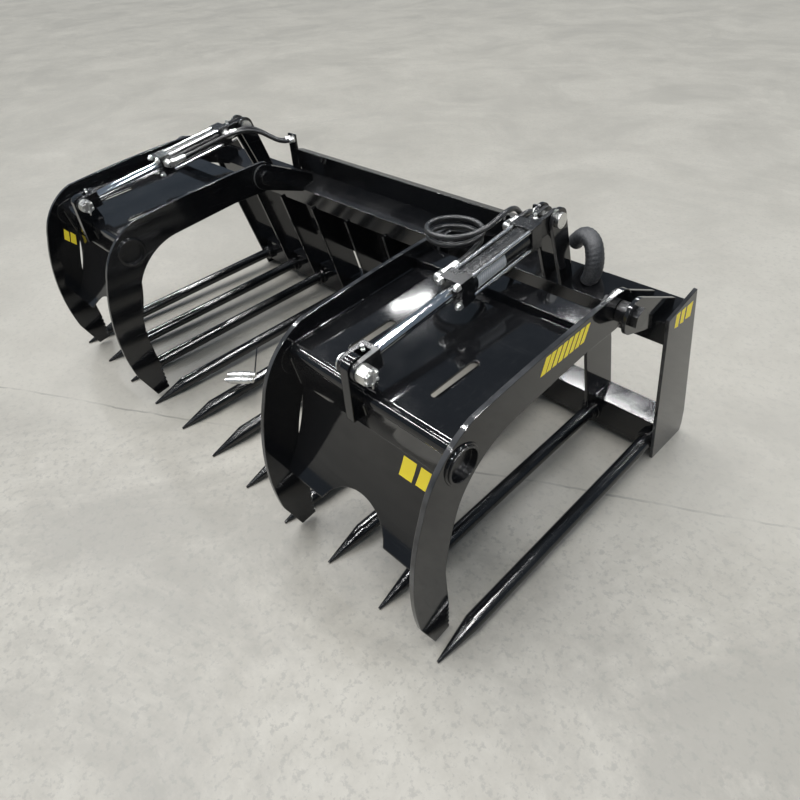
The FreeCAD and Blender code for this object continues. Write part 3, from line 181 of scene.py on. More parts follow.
links.new(two_tone(nodes, links, joint_dirt, paler, (0.24, 0.225, 0.195)), shader.inputs["Base Color"])
links.new(spread(nodes, links, clouds, 0.0, 1.0, 0.42, 0.6), shader.inputs["Roughness"])
links.new(bump(nodes, links, noise(nodes, links, where, 60.0, 4.0), 0.15, 0.002), shader.inputs["Normal"])

mesh = bmesh.new()
bmesh.ops.create_grid(mesh, x_segments=1, y_segments=1, size=45.0)
floor_mesh = bpy.data.meshes.new("shop_floor")
mesh.to_mesh(floor_mesh)
mesh.free()
shop_floor = bpy.data.objects.new("shop_floor", floor_mesh)
floor_mesh.materials.append(concrete)
bpy.context.scene.collection.objects.link(shop_floor)

# Light: a dim grey hall overhead, one broad sun for an even level that leaves no image
# in the paint, and rows of strip lamps whose images alone run along the glossy paint.
ROOF_LIGHT_HEIGHT = 5.0
STRIP_HEIGHT = 5.2
STRIP_LENGTH = 2.6
STRIP_WIDTH = 0.12
world = bpy.data.worlds.new("grey_hall")
world.use_nodes = True
world.node_tree.nodes["Background"].inputs["Color"].default_value = (0.130, 0.162, 0.200, 1.0)
world.node_tree.nodes["Background"].inputs["Strength"].default_value = 1.0
bpy.context.scene.world = world


def lamp(name, place, target, width, depth, power, shows=True, turn=0.0, shine_only=False):
    light = bpy.data.lights.new(name, "AREA")
    light.shape = "RECTANGLE"
    light.size = width
    light.size_y = depth
    light.energy = power
    item = bpy.data.objects.new(name, light)
    aim = (Vector(target) - Vector(place)).to_track_quat("-Z", "Y").to_matrix().to_4x4()
    item.matrix_world = Matrix.Translation(Vector(place)) @ aim @ Matrix.Rotation(turn, 4, "Z")
    item.visible_glossy = shows
    item.visible_diffuse = not shine_only
    bpy.context.scene.collection.objects.link(item)


even_light = bpy.data.lights.new("even_light", "SUN")
even_light.energy = 2.5
even_light.angle = 1.2
even_lamp = bpy.data.objects.new("even_light", even_light)
even_lamp.rotation_euler = (0.12, -0.18, 0.0)
even_lamp.visible_glossy = False
bpy.context.scene.collection.objects.link(even_lamp)
lamp("soft_front", (2.5, -5.5, 3.2), (0.0, 0.0, 0.4), 4.0, 3.0, 12.0, shows=False)
lamp("roof_light", (-4.03, 3.61, ROOF_LIGHT_HEIGHT), (-4.03, 3.61, 0.0), 0.60, 0.17, 15.0, turn=0.92)
strip_places = [(-1.2, 6.0), (2.4, 5.4), (-6.5, 1.2), (-2.6, 1.5), (1.2, 1.4), (4.6, 1.2),
                (-4.6, -1.2), (-0.6, -1.4), (3.4, -1.6), (-3.6, -4.0), (0.4, -4.2), (4.2, -4.4)]
for row, (x, y) in enumerate(strip_places):
    lamp(f"strip_{row + 1}", (x, y, STRIP_HEIGHT), (x, y, 0.0), STRIP_LENGTH, STRIP_WIDTH, 160.0,
         shine_only=True)


# Black powder coat on all the welded steel: very glossy, a little orange peel,
# shop dust settled on faces that look up, and fine handling scratches. The plate coat
# also carries a painted highlight: pale grey streaks on the plate rims standing in for light caught on the
# edges.
def new_group(name, inputs, outputs):
    group = bpy.data.node_groups.new(name, "ShaderNodeTree")
    for label, value in inputs:
        socket = group.interface.new_socket(label, in_out="INPUT", socket_type="NodeSocketFloat")
        socket.default_value = value
    for label in outputs:
        group.interface.new_socket(label, in_out="OUTPUT", socket_type="NodeSocketFloat")
    entry = group.nodes.new("NodeGroupInput")
    leave = group.nodes.new("NodeGroupOutput")
    return group, group.nodes, group.links, entry, leave


def place_group(nodes, group, **values):
    node = nodes.new("ShaderNodeGroup")
    node.node_tree = group
    return set_sockets(node, **values)


settled_dust, nodes, links, entry, leave = new_group("settled_dust", [("Amount", 0.5), ("Size", 6.0)],
                                                     ["Mask"])
where = object_place(nodes, links)
blotches = nodes.new("ShaderNodeTexNoise")
set_sockets(blotches, Detail=5.0, Roughness=0.65)
links.new(where, blotches.inputs["Vector"])
links.new(entry.outputs["Size"], blotches.inputs["Scale"])
facing = nodes.new("ShaderNodeNewGeometry")
normal_parts = nodes.new("ShaderNodeSeparateXYZ")
links.new(facing.outputs["Normal"], normal_parts.inputs["Vector"])
upward = spread(nodes, links, normal_parts.outputs["Z"], 0.25, 0.95)
patches = spread(nodes, links, blotches.outputs["Fac"], 0.46, 0.72)
grains = spread(nodes, links, noise(nodes, links, where, 260.0, 2.0, 0.7), 0.60, 0.70)
lying = multiply_add(nodes, links, multiply(nodes, links, upward, grains), 0.35,
                     multiply(nodes, links, upward, patches))
links.new(multiply(nodes, links, lying, entry.outputs["Amount"]), leave.inputs["Mask"])

fine_scratches, nodes, links, entry, leave = new_group("fine_scratches", [("Amount", 0.5)], ["Mask"])
long_streaks = object_place(nodes, links, (6.0, 260.0, 260.0), (0.2, 0.4, 0.5))
cross_streaks = object_place(nodes, links, (260.0, 9.0, 260.0), (0.1, -0.3, -0.4))
along = noise(nodes, links, long_streaks, 1.0, 2.0, 0.5)
across = noise(nodes, links, cross_streaks, 1.0, 2.0, 0.5)
first_set = spread(nodes, links, along, 0.66, 0.72)
second_set = spread(nodes, links, across, 0.66, 0.72)
both = nodes.new("ShaderNodeMath")
both.operation = "MAXIMUM"
links.new(first_set, both.inputs[0])
links.new(second_set, both.inputs[1])
links.new(multiply(nodes, links, both.outputs["Value"], entry.outputs["Amount"]), leave.inputs["Mask"])


EDGE_RADIUS = 0.0035


def powder_coat(name, dust, scratches, peel, gloss, edge_highlight=0.0):
    material, nodes, links, shader = new_material(name)
    where = object_place(nodes, links)
    dust_mask = place_group(nodes, settled_dust, Amount=dust, Size=5.0).outputs["Mask"]
    scratch_mask = place_group(nodes, fine_scratches, Amount=scratches).outputs["Mask"]
    tint = spread(nodes, links, noise(nodes, links, where, 3.0, 3.0), 0.35, 0.65)
    black = two_tone(nodes, links, tint, (0.0070, 0.0072, 0.0082), (0.0105, 0.0108, 0.0120))
    scuffed = two_tone(nodes, links, scratch_mask, black, (0.055, 0.055, 0.056))
    colour = two_tone(nodes, links, dust_mask, scuffed, (0.20, 0.195, 0.185))
    # Painted highlight: faces that do not look along X, the plate rims, are mixed towards pale grey and
    # streaked by noise, as light caught on the edges.
    if edge_highlight:
        facing = nodes.new("ShaderNodeSeparateXYZ")
        links.new(nodes.new("ShaderNodeTexCoord").outputs["Normal"], facing.inputs["Vector"])
        sideways = nodes.new("ShaderNodeMath")
        sideways.operation = "ABSOLUTE"
        links.new(facing.outputs["X"], sideways.inputs[0])
        edge_highlight_falloff = spread(nodes, links, sideways.outputs["Value"], 0.3, 0.5, edge_highlight, 0.0)
        streaks = spread(nodes, links, noise(nodes, links, where, 7.0, 3.0, 0.6), 0.42, 0.62, 0.15, 1.0)
        edge_highlight_mask = multiply(nodes, links, edge_highlight_falloff, streaks)
        colour = two_tone(nodes, links, edge_highlight_mask, colour, (0.62, 0.62, 0.63))
    links.new(colour, shader.inputs["Base Color"])
    uneven = spread(nodes, links, noise(nodes, links, where, 14.0, 4.0), 0.3, 0.7, gloss, gloss + 0.05)
    links.new(multiply_add(nodes, links, dust_mask, 0.9, uneven), shader.inputs["Roughness"])
    round_edge = nodes.new("ShaderNodeBevel")
    round_edge.samples = 6
    round_edge.inputs["Radius"].default_value = EDGE_RADIUS
    waves = bump(nodes, links, noise(nodes, links, where, 5.0, 1.0), 0.16, 0.004,
                 round_edge.outputs["Normal"])
    peeled = bump(nodes, links, noise(nodes, links, where, 320.0, 1.0), peel, 0.0004, waves)
    links.new(bump(nodes, links, scratch_mask, 0.12, 0.0002, peeled), shader.inputs["Normal"])
    shader.inputs["IOR"].default_value = 1.55
    return material


sheet_coat = powder_coat("powder_coat_sheets", 0.05, 0.22, 0.06, 0.04)
frame_coat = powder_coat("powder_coat_frame", 0.08, 0.18, 0.10, 0.07)
# The plates get the painted edge highlight.
plate_coat = powder_coat("powder_coat_plates", 0.05, 0.22, 0.06, 0.045, edge_highlight=0.13)
tine_coat = powder_coat("powder_coat_tines", 0.08, 0.6, 0.30, 0.11)
casting_coat = powder_coat("powder_coat_castings", 0.18, 0.2, 0.9, 0.2)


def dress(material, *node_names):
    for node_name in node_names:
        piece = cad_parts[node_name]
        piece.data.materials.clear()
        piece.data.materials.append(material)


dress(frame_coat, "bottom_tube", "top_beam", "uprights_left", "uprights_centre", "uprights_right",
      "quick_attach_plate", "quick_attach_foot", "tine_collars", "hose_unions")
dress(plate_coat, "end_plate_left", "end_plate_right", "hinge_ears_left", "hinge_ears_right",
      "cylinder_bracket_left", "cylinder_bracket_right")
dress(tine_coat, *[f"tine_{number:02d}" for number in range(1, 12)])
for side in ("left", "right"):
    dress(plate_coat, f"{side}_claw_plate_outer", f"{side}_claw_plate_inner")
    dress(sheet_coat, f"{side}_rear_tube", f"{side}_top_sheet", f"{side}_front_sheet", f"{side}_rod_lug")
    dress(casting_coat, f"{side}_cap_head", f"{side}_gland_head", f"{side}_rod_clevis", f"{side}_barrel")
dress(casting_coat, "hinge_bolts", "left_pipe_rings", "right_pipe_rings")


# Bare metal of the cylinders: hard chrome rods, bright drawn tie rods, and
# zinc plated pins and nuts that have gone slightly dull.
def bare_metal(name, dark, light, rough_low, rough_high, grain):
    material, nodes, links, shader = new_material(name)
    where = object_place(nodes, links)
    mottle = spread(nodes, links, noise(nodes, links, where, 22.0, 4.0, 0.6), 0.3, 0.7)
    links.new(two_tone(nodes, links, mottle, dark, light), shader.inputs["Base Color"])
    links.new(spread(nodes, links, noise(nodes, links, where, 60.0, 3.0), 0.3, 0.7, rough_low, rough_high),
              shader.inputs["Roughness"])
    links.new(bump(nodes, links, noise(nodes, links, where, 420.0, 2.0), grain, 0.0003),
              shader.inputs["Normal"])
    shader.inputs["Metallic"].default_value = 1.0
    return material


hard_chrome = bare_metal("hard_chrome", (0.66, 0.67, 0.69), (0.80, 0.81, 0.82), 0.05, 0.10, 0.03)
drawn_steel = bare_metal("drawn_steel", (0.50, 0.50, 0.50), (0.66, 0.66, 0.65), 0.16, 0.26, 0.15)
dull_zinc = bare_metal("dull_zinc", (0.62, 0.62, 0.60), (0.80, 0.80, 0.78), 0.26, 0.40, 0.3)
for side in ("left", "right"):
    dress(hard_chrome, f"{side}_rod")
    dress(drawn_steel, f"{side}_tie_rods")
    dress(dull_zinc, f"{side}_rod_pin")
dress(dull_zinc, "base_pins")


# Weld beads: rippled seams of metal under the same paint, laid in every inner corner
# where plates, rings, collars and sheets are joined. They ride on what they join.
TUBE_FACE = 412.0
CLAW_BACK = 300.0
CLAW_TOP = 655.0
OUTER_PLATE_INSIDE = 985.65
INNER_PLATE_INSIDE = 461.35
PLATE_THICKNESS = 12.7
SHEET_REAR = 125.2
SHEET_RUN = 420.8
SHEET_REAR_DROP = 15.0
SHEET_FALL = 33.0
RING_FORWARD = 550.0
RING_DROP = 92.0
CYLINDER_SIDE = 716.5
LUG_WELD_SIDE = 14.0
TINE_PITCH = 207.0
TINE_LENGTH = 976.0
TINE_ROOT_HEIGHT = 64.8
TINE_TIP_HEIGHT = 22.2
UPRIGHT_WELD_HEIGHT = 126.6


def make_piece(name, mesh, material, sharp_angle=0.7):
    bmesh.ops.recalc_face_normals(mesh, faces=mesh.faces)
    data = bpy.data.meshes.new(name)
    mesh.to_mesh(data)
    mesh.free()
    for polygon in data.polygons:
        polygon.use_smooth = True
    if sharp_angle:
        data.set_sharp_from_angle(angle=sharp_angle)
    data.materials.append(material)
    piece = bpy.data.objects.new(name, data)
    bpy.context.scene.collection.objects.link(piece)
    return piece


def add_piece(name, mesh, material, body):
    piece = make_piece(name, mesh, material)
    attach(piece, body)


def metres(x, y, z):
    return Vector((x, y + TUBE_FACE, z)) / 1000.0


def claw_place(x, forward, drop):
    return metres(x, -CLAW_BACK - forward, CLAW_TOP - drop)


def sheet_drop(forward):
    return SHEET_REAR_DROP + SHEET_FALL * (forward - SHEET_REAR) / SHEET_RUN


def ring(mesh, middle, across, up, across_reach, up_reach, sides, start=0.0):
    turns = [math.tau * part / sides + start for part in range(sides)]
    corners = []
    for turn in turns:
        out = across * (across_reach * math.cos(turn)) + up * (up_reach * math.sin(turn))
        corners.append(mesh.verts.new(middle + out))
    return corners


def close_tube(mesh, rings, looped=False):
    pairs = list(zip(rings, rings[1:])) + ([(rings[-1], rings[0])] if looped else [])
    for first, second in pairs:
        for side in range(len(first)):
            beside = (side + 1) % len(first)
            mesh.faces.new((first[side], first[beside], second[beside], second[side]))
    if not looped:
        mesh.faces.new(rings[0][::-1])
        mesh.faces.new(rings[-1])


def bead(mesh, start, end, radius=0.0042, ripple=0.0038):
    run = end - start
    count = max(4, round(run.length / ripple) * 2)
    along = run.normalized()
    across = along.orthogonal().normalized()
    up = along.cross(across)
    rings = []
    for step in range(count + 1):
        swell = radius * (0.62 if step in (0, count) else (1.0 if step % 2 else 0.86))
        rings.append(ring(mesh, start + run * step / count, across, up, swell, swell, 7))
    close_tube(mesh, rings)


def round_bead(mesh, middle, axis, reach, radius=0.004, ripple=0.004):
    axis = axis.normalized()
    across = axis.orthogonal().normalized()
    up = axis.cross(across)
    count = round(math.tau * reach / ripple) * 2
    rings = []
    for step in range(count):
        turn = math.tau * step / count
        out = across * math.cos(turn) + up * math.sin(turn)
        swell = radius * (1.0 if step % 2 else 0.84)
        rings.append(ring(mesh, middle + out * reach, out, axis, swell, swell, 7))
    close_tube(mesh, rings, looped=True)


tine_tilt = math.atan((TINE_ROOT_HEIGHT - TINE_TIP_HEIGHT) / TINE_LENGTH)
tine_axis = Vector((0.0, -math.cos(tine_tilt), -math.sin(tine_tilt)))
mesh = bmesh.new()
for number in range(-5, 6):
    x = number * TINE_PITCH
    if abs(number) < 5:
        round_bead(mesh, metres(x, 1.5, TINE_ROOT_HEIGHT), tine_axis, 0.0330, 0.0045)
    round_bead(mesh, metres(x, -17.0, TINE_ROOT_HEIGHT - 0.9), tine_axis, 0.0238, 0.0038)
for number in range(-4, 5):
    depth = 60.0 if abs(number) > 2 else 76.0
    for wall in (-6.0, 6.0):
        x = number * TINE_PITCH + wall
        bead(mesh, metres(x, 6.0, UPRIGHT_WELD_HEIGHT), metres(x, depth, UPRIGHT_WELD_HEIGHT))
add_piece("frame_weld_beads", mesh, frame_coat, "root")

for side, sign in (("left", -1.0), ("right", 1.0)):
    mesh = bmesh.new()
    for x in (sign * (OUTER_PLATE_INSIDE - 2.0), sign * (INNER_PLATE_INSIDE + 2.0)):
        for begin, finish in ((140.0, 300.0), (322.0, 470.0), (490.0, 548.0)):
            bead(mesh, claw_place(x, begin, sheet_drop(begin) - 1.5),
                 claw_place(x, finish, sheet_drop(finish) - 1.5))
        bead(mesh, claw_place(x, 567.0, 82.0), claw_place(x, 551.0, 168.0))
    for begin in (500.0, 640.0, 870.0, 905.0):
        bead(mesh, claw_place(sign * begin, 124.0, 14.0), claw_place(sign * (begin + 60.0), 124.0, 14.0))
    for x in (OUTER_PLATE_INSIDE + PLATE_THICKNESS + 0.25, INNER_PLATE_INSIDE - PLATE_THICKNESS - 0.25):
        round_bead(mesh, claw_place(sign * x, RING_FORWARD, RING_DROP), Vector((1.0, 0.0, 0.0)), 0.0452,
                   0.0045)
    for wall in (-LUG_WELD_SIDE, LUG_WELD_SIDE):
        x = sign * CYLINDER_SIDE + wall
        bead(mesh, claw_place(x, 521.0, sheet_drop(521.0) - 1.0),
             claw_place(x, 544.0, sheet_drop(544.0) - 1.0))
        bead(mesh, claw_place(x, 568.0, 78.0), claw_place(x, 562.0, 112.0))
    add_piece(f"{side}_weld_beads", mesh, sheet_coat, f"{side}_arm")


# Hydraulic hoses: black rubber with a faint cloth wrap print, from crimped ends at the
# cylinder's two ports to a pair of unions on the beam. The right gland hose is coiled twice.
HOSE_DIAMETER = 0.0143
PORT_INWARD = 56.0
COIL_INWARD = 138.0
COIL_BACK = -398.0
COIL_HEIGHT = 743.0
COIL_REACH = 67.0
COIL_STEPS = 25
hose_rubber, nodes, links, shader = new_material("hose_rubber")
where = object_place(nodes, links)
worn = spread(nodes, links, noise(nodes, links, where, 30.0, 4.0, 0.6), 0.35, 0.7)
dust_mask = place_group(nodes, settled_dust, Amount=0.25, Size=14.0).outputs["Mask"]
rubber = two_tone(nodes, links, worn, (0.016, 0.016, 0.017), (0.030, 0.030, 0.031))
links.new(two_tone(nodes, links, dust_mask, rubber, (0.16, 0.155, 0.15)), shader.inputs["Base Color"])
links.new(spread(nodes, links, worn, 0.0, 1.0, 0.30, 0.42), shader.inputs["Roughness"])
links.new(bump(nodes, links, noise(nodes, links, where, 700.0, 2.0), 0.25, 0.0003), shader.inputs["Normal"])

coil_points = []
for step in range(COIL_STEPS):
    angle = math.radians(30 * step)
    reach = COIL_REACH + 0.34 * step
    coil_points.append((COIL_INWARD - reach * math.cos(angle), COIL_BACK + reach * math.sin(angle),
                        COIL_HEIGHT + 1.75 * step))
gland_hose_end = [(107, -180, 757), (119, -151, 735), (129, -125, 717), (135, -101, 707.5), (136.5, -80, 705),
                  (136.5, -62, 705)]
gland_hose_right = [(PORT_INWARD, -446, 741.3)] + coil_points + [
    (50, -372, 794), (58, -328, 797), (69, -286, 796), (81, -245, 789), (94, -210, 775)] + gland_hose_end
gland_hose_left = [(PORT_INWARD, -443, 741.8), (62, -400, 751), (72, -355, 762), (81, -310, 771),
                   (88, -264, 776), (96, -220, 772)] + gland_hose_end
cap_hose = [(PORT_INWARD, -222, 774.6), (61, -191, 770), (74, -161, 754), (90, -135, 733), (103, -111, 715),
            (110.5, -91, 706.5), (112.5, -76, 705), (112.5, -62, 705)]
gland_hose_start = (PORT_INWARD, -483.97, 735.67)
cap_hose_start = (PORT_INWARD, -253.52, 770.06)


def hose_line(name, route):
    curve = bpy.data.curves.new(name, "CURVE")
    curve.dimensions = "3D"
    curve.resolution_u = 8
    spline = curve.splines.new("NURBS")
    spline.points.add(len(route) - 1)
    for point, place in zip(spline.points, route):
        point.co = (place.x, place.y, place.z, 1.0)
    spline.order_u = 3
    spline.use_endpoint_u = True
    line = bpy.data.objects.new(name, curve)
    read = bpy.data.meshes.new_from_object(line)
    path = [vertex.co.copy() for vertex in read.vertices]
    bpy.data.meshes.remove(read)
    bpy.data.objects.remove(line)
    bpy.data.curves.remove(curve)
    return path


def add_hose(side, sign, kind, points):
    route = [metres(sign * (CYLINDER_SIDE - inward), back, height) for inward, back, height in points]
    path = hose_line(f"{side}_{kind}_hose_line", route)
    mesh = bmesh.new()
    rings = []
    across = (path[1] - path[0]).orthogonal().normalized()
    for index, place in enumerate(path):
        ahead = path[min(index + 1, len(path) - 1)] - path[max(index - 1, 0)]
        ahead.normalize()
        across = (across - ahead * across.dot(ahead)).normalized()
        rings.append(ring(mesh, place, across, ahead.cross(across), HOSE_DIAMETER / 2, HOSE_DIAMETER / 2, 16))
    close_tube(mesh, rings)
    piece = make_piece(f"{side}_{kind}_hose_skin", mesh, hose_rubber, sharp_angle=None)
    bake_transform(piece)
    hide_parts(f"{side}_{kind}_hose")


gland_hoses = (("left", -1, gland_hose_left, 0.452), ("right", 1, gland_hose_right, 1.31))
for side, sign, gland_points, gland_length in gland_hoses:
    add_hose(side, sign, "gland", [gland_hose_start] + gland_points)
    add_hose(side, sign, "cap", [cap_hose_start] + cap_hose)


# Hose fittings: zinc plated hexagons, elbows and ribbed crimps over the plain adapters
# of the two heads, and nuts on the unions. They ride with the barrel or the frame.
BASE_PIN_FORWARD = 193.0
BASE_PIN_HEIGHT = 771.0
ROD_PIN_FORWARD = 870.0
ROD_PIN_HEIGHT = 670.0
HEAD_HALF_WIDTH = 33.4
PORT_RISE = 8.0
CAP_PORT = 97.0
GLAND_PORT = 356.0
CAP_HOSE_START = 60.0
GLAND_HOSE_START = 293.0
CRIMP_RADIUS = 0.0100
CRIMP_RIDGE_RADIUS = 0.0108
CRIMP_RIDGE_STEP = 0.0068
UNION_HEIGHT = 705.0
UNIONS_INWARD = (112.5, 136.5)


def turned(mesh, base, axis, steps, sides=24, start=0.0):
    axis = axis.normalized()
    across = Vector((0.0, 0.0, 1.0)) if abs(axis.z) < 0.9 else Vector((0.0, 1.0, 0.0))
    across = (across - axis * across.dot(axis)).normalized()
    up = axis.cross(across)
    close_tube(mesh, [ring(mesh, base + axis * place, across, up, radius, radius, sides, start)
                      for place, radius in steps])


def nut_steps(start, height, radius, chamfer=0.0012):
    return [(start, radius - chamfer), (start + chamfer, radius), (start + height - chamfer, radius),
            (start + height, radius - chamfer)]


def crimp_steps(length):
    steps = [(0.013, CRIMP_RADIUS)]
    ridge = 0.015
    while ridge < length - 0.004:
        steps += [(ridge, CRIMP_RADIUS), (ridge + 0.0015, CRIMP_RIDGE_RADIUS),
                  (ridge + 0.0040, CRIMP_RIDGE_RADIUS), (ridge + 0.0055, CRIMP_RADIUS)]
        ridge += CRIMP_RIDGE_STEP
    return steps + [(length + 0.001, CRIMP_RADIUS), (length + 0.001, 0.0078)]


def on_axis(sign, inward, along, rise=0.0):
    tilt = math.atan((BASE_PIN_HEIGHT - ROD_PIN_HEIGHT) / (ROD_PIN_FORWARD - BASE_PIN_FORWARD))
    return metres(sign * (CYLINDER_SIDE - inward),
                  -BASE_PIN_FORWARD - along * math.cos(tilt) - rise * math.sin(tilt),
                  BASE_PIN_HEIGHT - along * math.sin(tilt) + rise * math.cos(tilt))


cylinder_axis = (on_axis(1.0, 0.0, 1000.0) - on_axis(1.0, 0.0, 0.0)).normalized()
forwards = Vector((0.0, -1.0, 0.0))
for side, sign in (("left", -1.0), ("right", 1.0)):
    mesh = bmesh.new()
    inwards = Vector((-sign, 0.0, 0.0))
    for port, hose_start in ((CAP_PORT, CAP_HOSE_START), (GLAND_PORT, GLAND_HOSE_START)):
        head_face = on_axis(sign, HEAD_HALF_WIDTH, port, PORT_RISE)
        adapter_end = on_axis(sign, PORT_INWARD, port - 9.0, PORT_RISE)
        turned(mesh, head_face, inwards, nut_steps(0.0, 0.011, 0.0155), sides=6)
        turned(mesh, head_face, inwards,
               [(0.010, 0.0116), (0.030, 0.0116), (0.0335, 0.0098), (0.0335, 0.004)])
        turned(mesh, adapter_end, -cylinder_axis, nut_steps(0.0, 0.013, 0.0137), sides=6)
        turned(mesh, adapter_end, -cylinder_axis, crimp_steps((port - 9.0 - hose_start) / 1000.0))
    add_piece(f"{side}_port_fittings", mesh, dull_zinc, f"{side}_barrel_body")
    mesh = bmesh.new()
    for inward in UNIONS_INWARD:
        x = sign * (CYLINDER_SIDE - inward)
        turned(mesh, metres(x, -54.8, UNION_HEIGHT), forwards, nut_steps(0.0, 0.0068, 0.0118), sides=6)
        turned(mesh, metres(x, -61.4, UNION_HEIGHT), forwards,
               [(0.0, 0.0095), (0.001, 0.0105), (0.016, 0.0105), (0.018, 0.0095), (0.018, 0.0078)])
    add_piece(f"{side}_union_nuts", mesh, dull_zinc, "root")


# Bolts and nuts of the cylinders: four hexagons with stud ends on each gland head, a castle
# nut's turret, a split pin, and grease nipples on the two clevises. All are zinc plated.
TIE_ROD_OFFSET = 26.0
GLAND_HEAD_FRONT = 377.0
CASTLE_TEETH = 6
CASTLE_TOOTH_REACH = 0.0158
grease_nipple = [(0.0, 0.0055), (0.006, 0.0055), (0.0075, 0.0034), (0.012, 0.0034), (0.014, 0.0046),
                 (0.017, 0.0040)]
small_nipple = [(0.0, 0.0045), (0.005, 0.0045), (0.006, 0.003), (0.010, 0.003), (0.012, 0.0042),
                (0.015, 0.0036)]
pin_axis = Vector((1.0, 0.0, 0.0))
for side, sign in (("left", -1.0), ("right", 1.0)):
    mesh = bmesh.new()
    for across in (-TIE_ROD_OFFSET, TIE_ROD_OFFSET):
        for rise in (-TIE_ROD_OFFSET, TIE_ROD_OFFSET):
            corner = on_axis(sign, across, GLAND_HEAD_FRONT, rise)
            turned(mesh, corner, cylinder_axis, nut_steps(0.0, 0.0095, 0.0098), sides=6, start=0.3)
            turned(mesh, corner, cylinder_axis, [(0.0, 0.0056), (0.0152, 0.0056), (0.0162, 0.0046)])
    add_piece(f"{side}_tie_nuts", mesh, dull_zinc, f"{side}_barrel_body")
    mesh = bmesh.new()
    rod_pin = metres(sign * CYLINDER_SIDE, -ROD_PIN_FORWARD, ROD_PIN_HEIGHT)
    for part in range(CASTLE_TEETH):
        turn = math.tau * (part + 0.5) / CASTLE_TEETH
        out = Vector((0.0, math.cos(turn), math.sin(turn)))
        turned(mesh, rod_pin + pin_axis * 0.0535 + out * CASTLE_TOOTH_REACH, pin_axis,
               [(0.0, 0.0042), (0.0052, 0.0042), (0.0060, 0.0034)], sides=8)
    turned(mesh, rod_pin + Vector((0.0565, 0.0, -0.027)), Vector((0.0, 0.12, 1.0)),
           [(0.0, 0.0018), (0.0005, 0.0022), (0.050, 0.0022), (0.0508, 0.0016)], sides=12)
    turned(mesh, rod_pin + Vector((0.0, 0.030, 0.028)), Vector((0.0, -0.15, 1.0)), small_nipple, sides=12)
    add_piece(f"{side}_pin_lock", mesh, dull_zinc, f"{side}_rod_body")
    mesh = bmesh.new()
    clevis_top = on_axis(sign, 0.0, 58.0, 22.0)
    turned(mesh, clevis_top, on_axis(sign, 0.0, 58.0, 1022.0) - clevis_top, grease_nipple, sides=12)
    add_piece(f"{side}_grease_nipple", mesh, dull_zinc, f"{side}_barrel_body")


# Quick couplers: a pair of ribbed steel couplers left lying on a tine, where a black
# rubber strap holds them. Both are turned from one outline, and the frame carries them.
coupler_axis = Vector((0.76, 0.62, 0.02))
coupler_outline = [
    (0.0, 0.0085), (0.001, 0.0095), (0.018, 0.0095), (0.018, 0.0125), (0.019, 0.0135), (0.034, 0.0135),
    (0.035, 0.0120), (0.040, 0.0120), (0.041, 0.0145), (0.062, 0.0145), (0.063, 0.0125), (0.068, 0.0125),
    (0.069, 0.0140), (0.088, 0.0140), (0.089, 0.0105), (0.104, 0.0105), (0.105, 0.0095)]
mesh = bmesh.new()
for x, y in ((-226.0, -742.0), (-206.0, -766.0)):
    turned(mesh, metres(x, y, 103.7), coupler_axis, coupler_outline)
add_piece("quick_couplers", mesh, dull_zinc, "root")

strap_start = metres(-172.0, -668.0, 84.0)
strap_end = metres(-318.0, -556.0, 94.0)
mesh = bmesh.new()
turned(mesh, strap_start, strap_end - strap_start,
       [(0.0, 0.0022), (0.0006, 0.0028), (0.1740, 0.0028), (0.1746, 0.0022)], sides=10)
add_piece("coupler_strap", mesh, hose_rubber, "root")


# Hose guard: a woven grey sleeve bent out of the right bracket and down to the beam,
# with faint ribs round it. It rides on the frame.
GUARD_STEPS = 60
GUARD_HALF_THICKNESS = 0.023
GUARD_HALF_WIDTH = 0.030
woven_nylon, nodes, links, shader = new_material("woven_nylon")
where = object_place(nodes, links)
weave = spread(nodes, links, noise(nodes, links, where, 260.0, 2.0), 0.35, 0.65)
greys = two_tone(nodes, links, weave, (0.022, 0.024, 0.028), (0.060, 0.063, 0.070))
links.new(greys, shader.inputs["Base Color"])
links.new(spread(nodes, links, weave, 0.0, 1.0, 0.45, 0.6), shader.inputs["Roughness"])
links.new(bump(nodes, links, weave, 0.5, 0.0006), shader.inputs["Normal"])

guard_points = [metres(718.0, -50.0, 652.0), metres(750.0, -62.0, 684.0), metres(786.0, -78.0, 678.0),
                metres(806.0, -90.0, 642.0), metres(808.0, -94.0, 604.0), metres(800.0, -92.0, 578.0)]


def place_on(points, place):
    first = min(int(place), len(points) - 2)
    part = place - first
    before = points[max(first - 1, 0)]
    start, end = points[first], points[first + 1]
    after = points[min(first + 2, len(points) - 1)]
    slope = end - before
    bend = 2.0 * before - 5.0 * start + 4.0 * end - after
    twist = 3.0 * start - before - 3.0 * end + after
    middle = 0.5 * (2.0 * start + slope * part + bend * part ** 2 + twist * part ** 3)
    along = 0.5 * (slope + 2.0 * bend * part + 3.0 * twist * part ** 2)
    return middle, along.normalized()


mesh = bmesh.new()
rings = []
sideways = Vector((0.0, 1.0, 0.0))
for step in range(GUARD_STEPS + 1):
    middle, along = place_on(guard_points, step / GUARD_STEPS * (len(guard_points) - 1))
    swell = 1.035 if step % 3 == 1 else 1.0
    rings.append(ring(mesh, middle, along.cross(sideways), sideways, GUARD_HALF_THICKNESS * swell,
                      GUARD_HALF_WIDTH * swell, 28))
close_tube(mesh, rings)
add_piece("hose_guard", mesh, woven_nylon, "root")
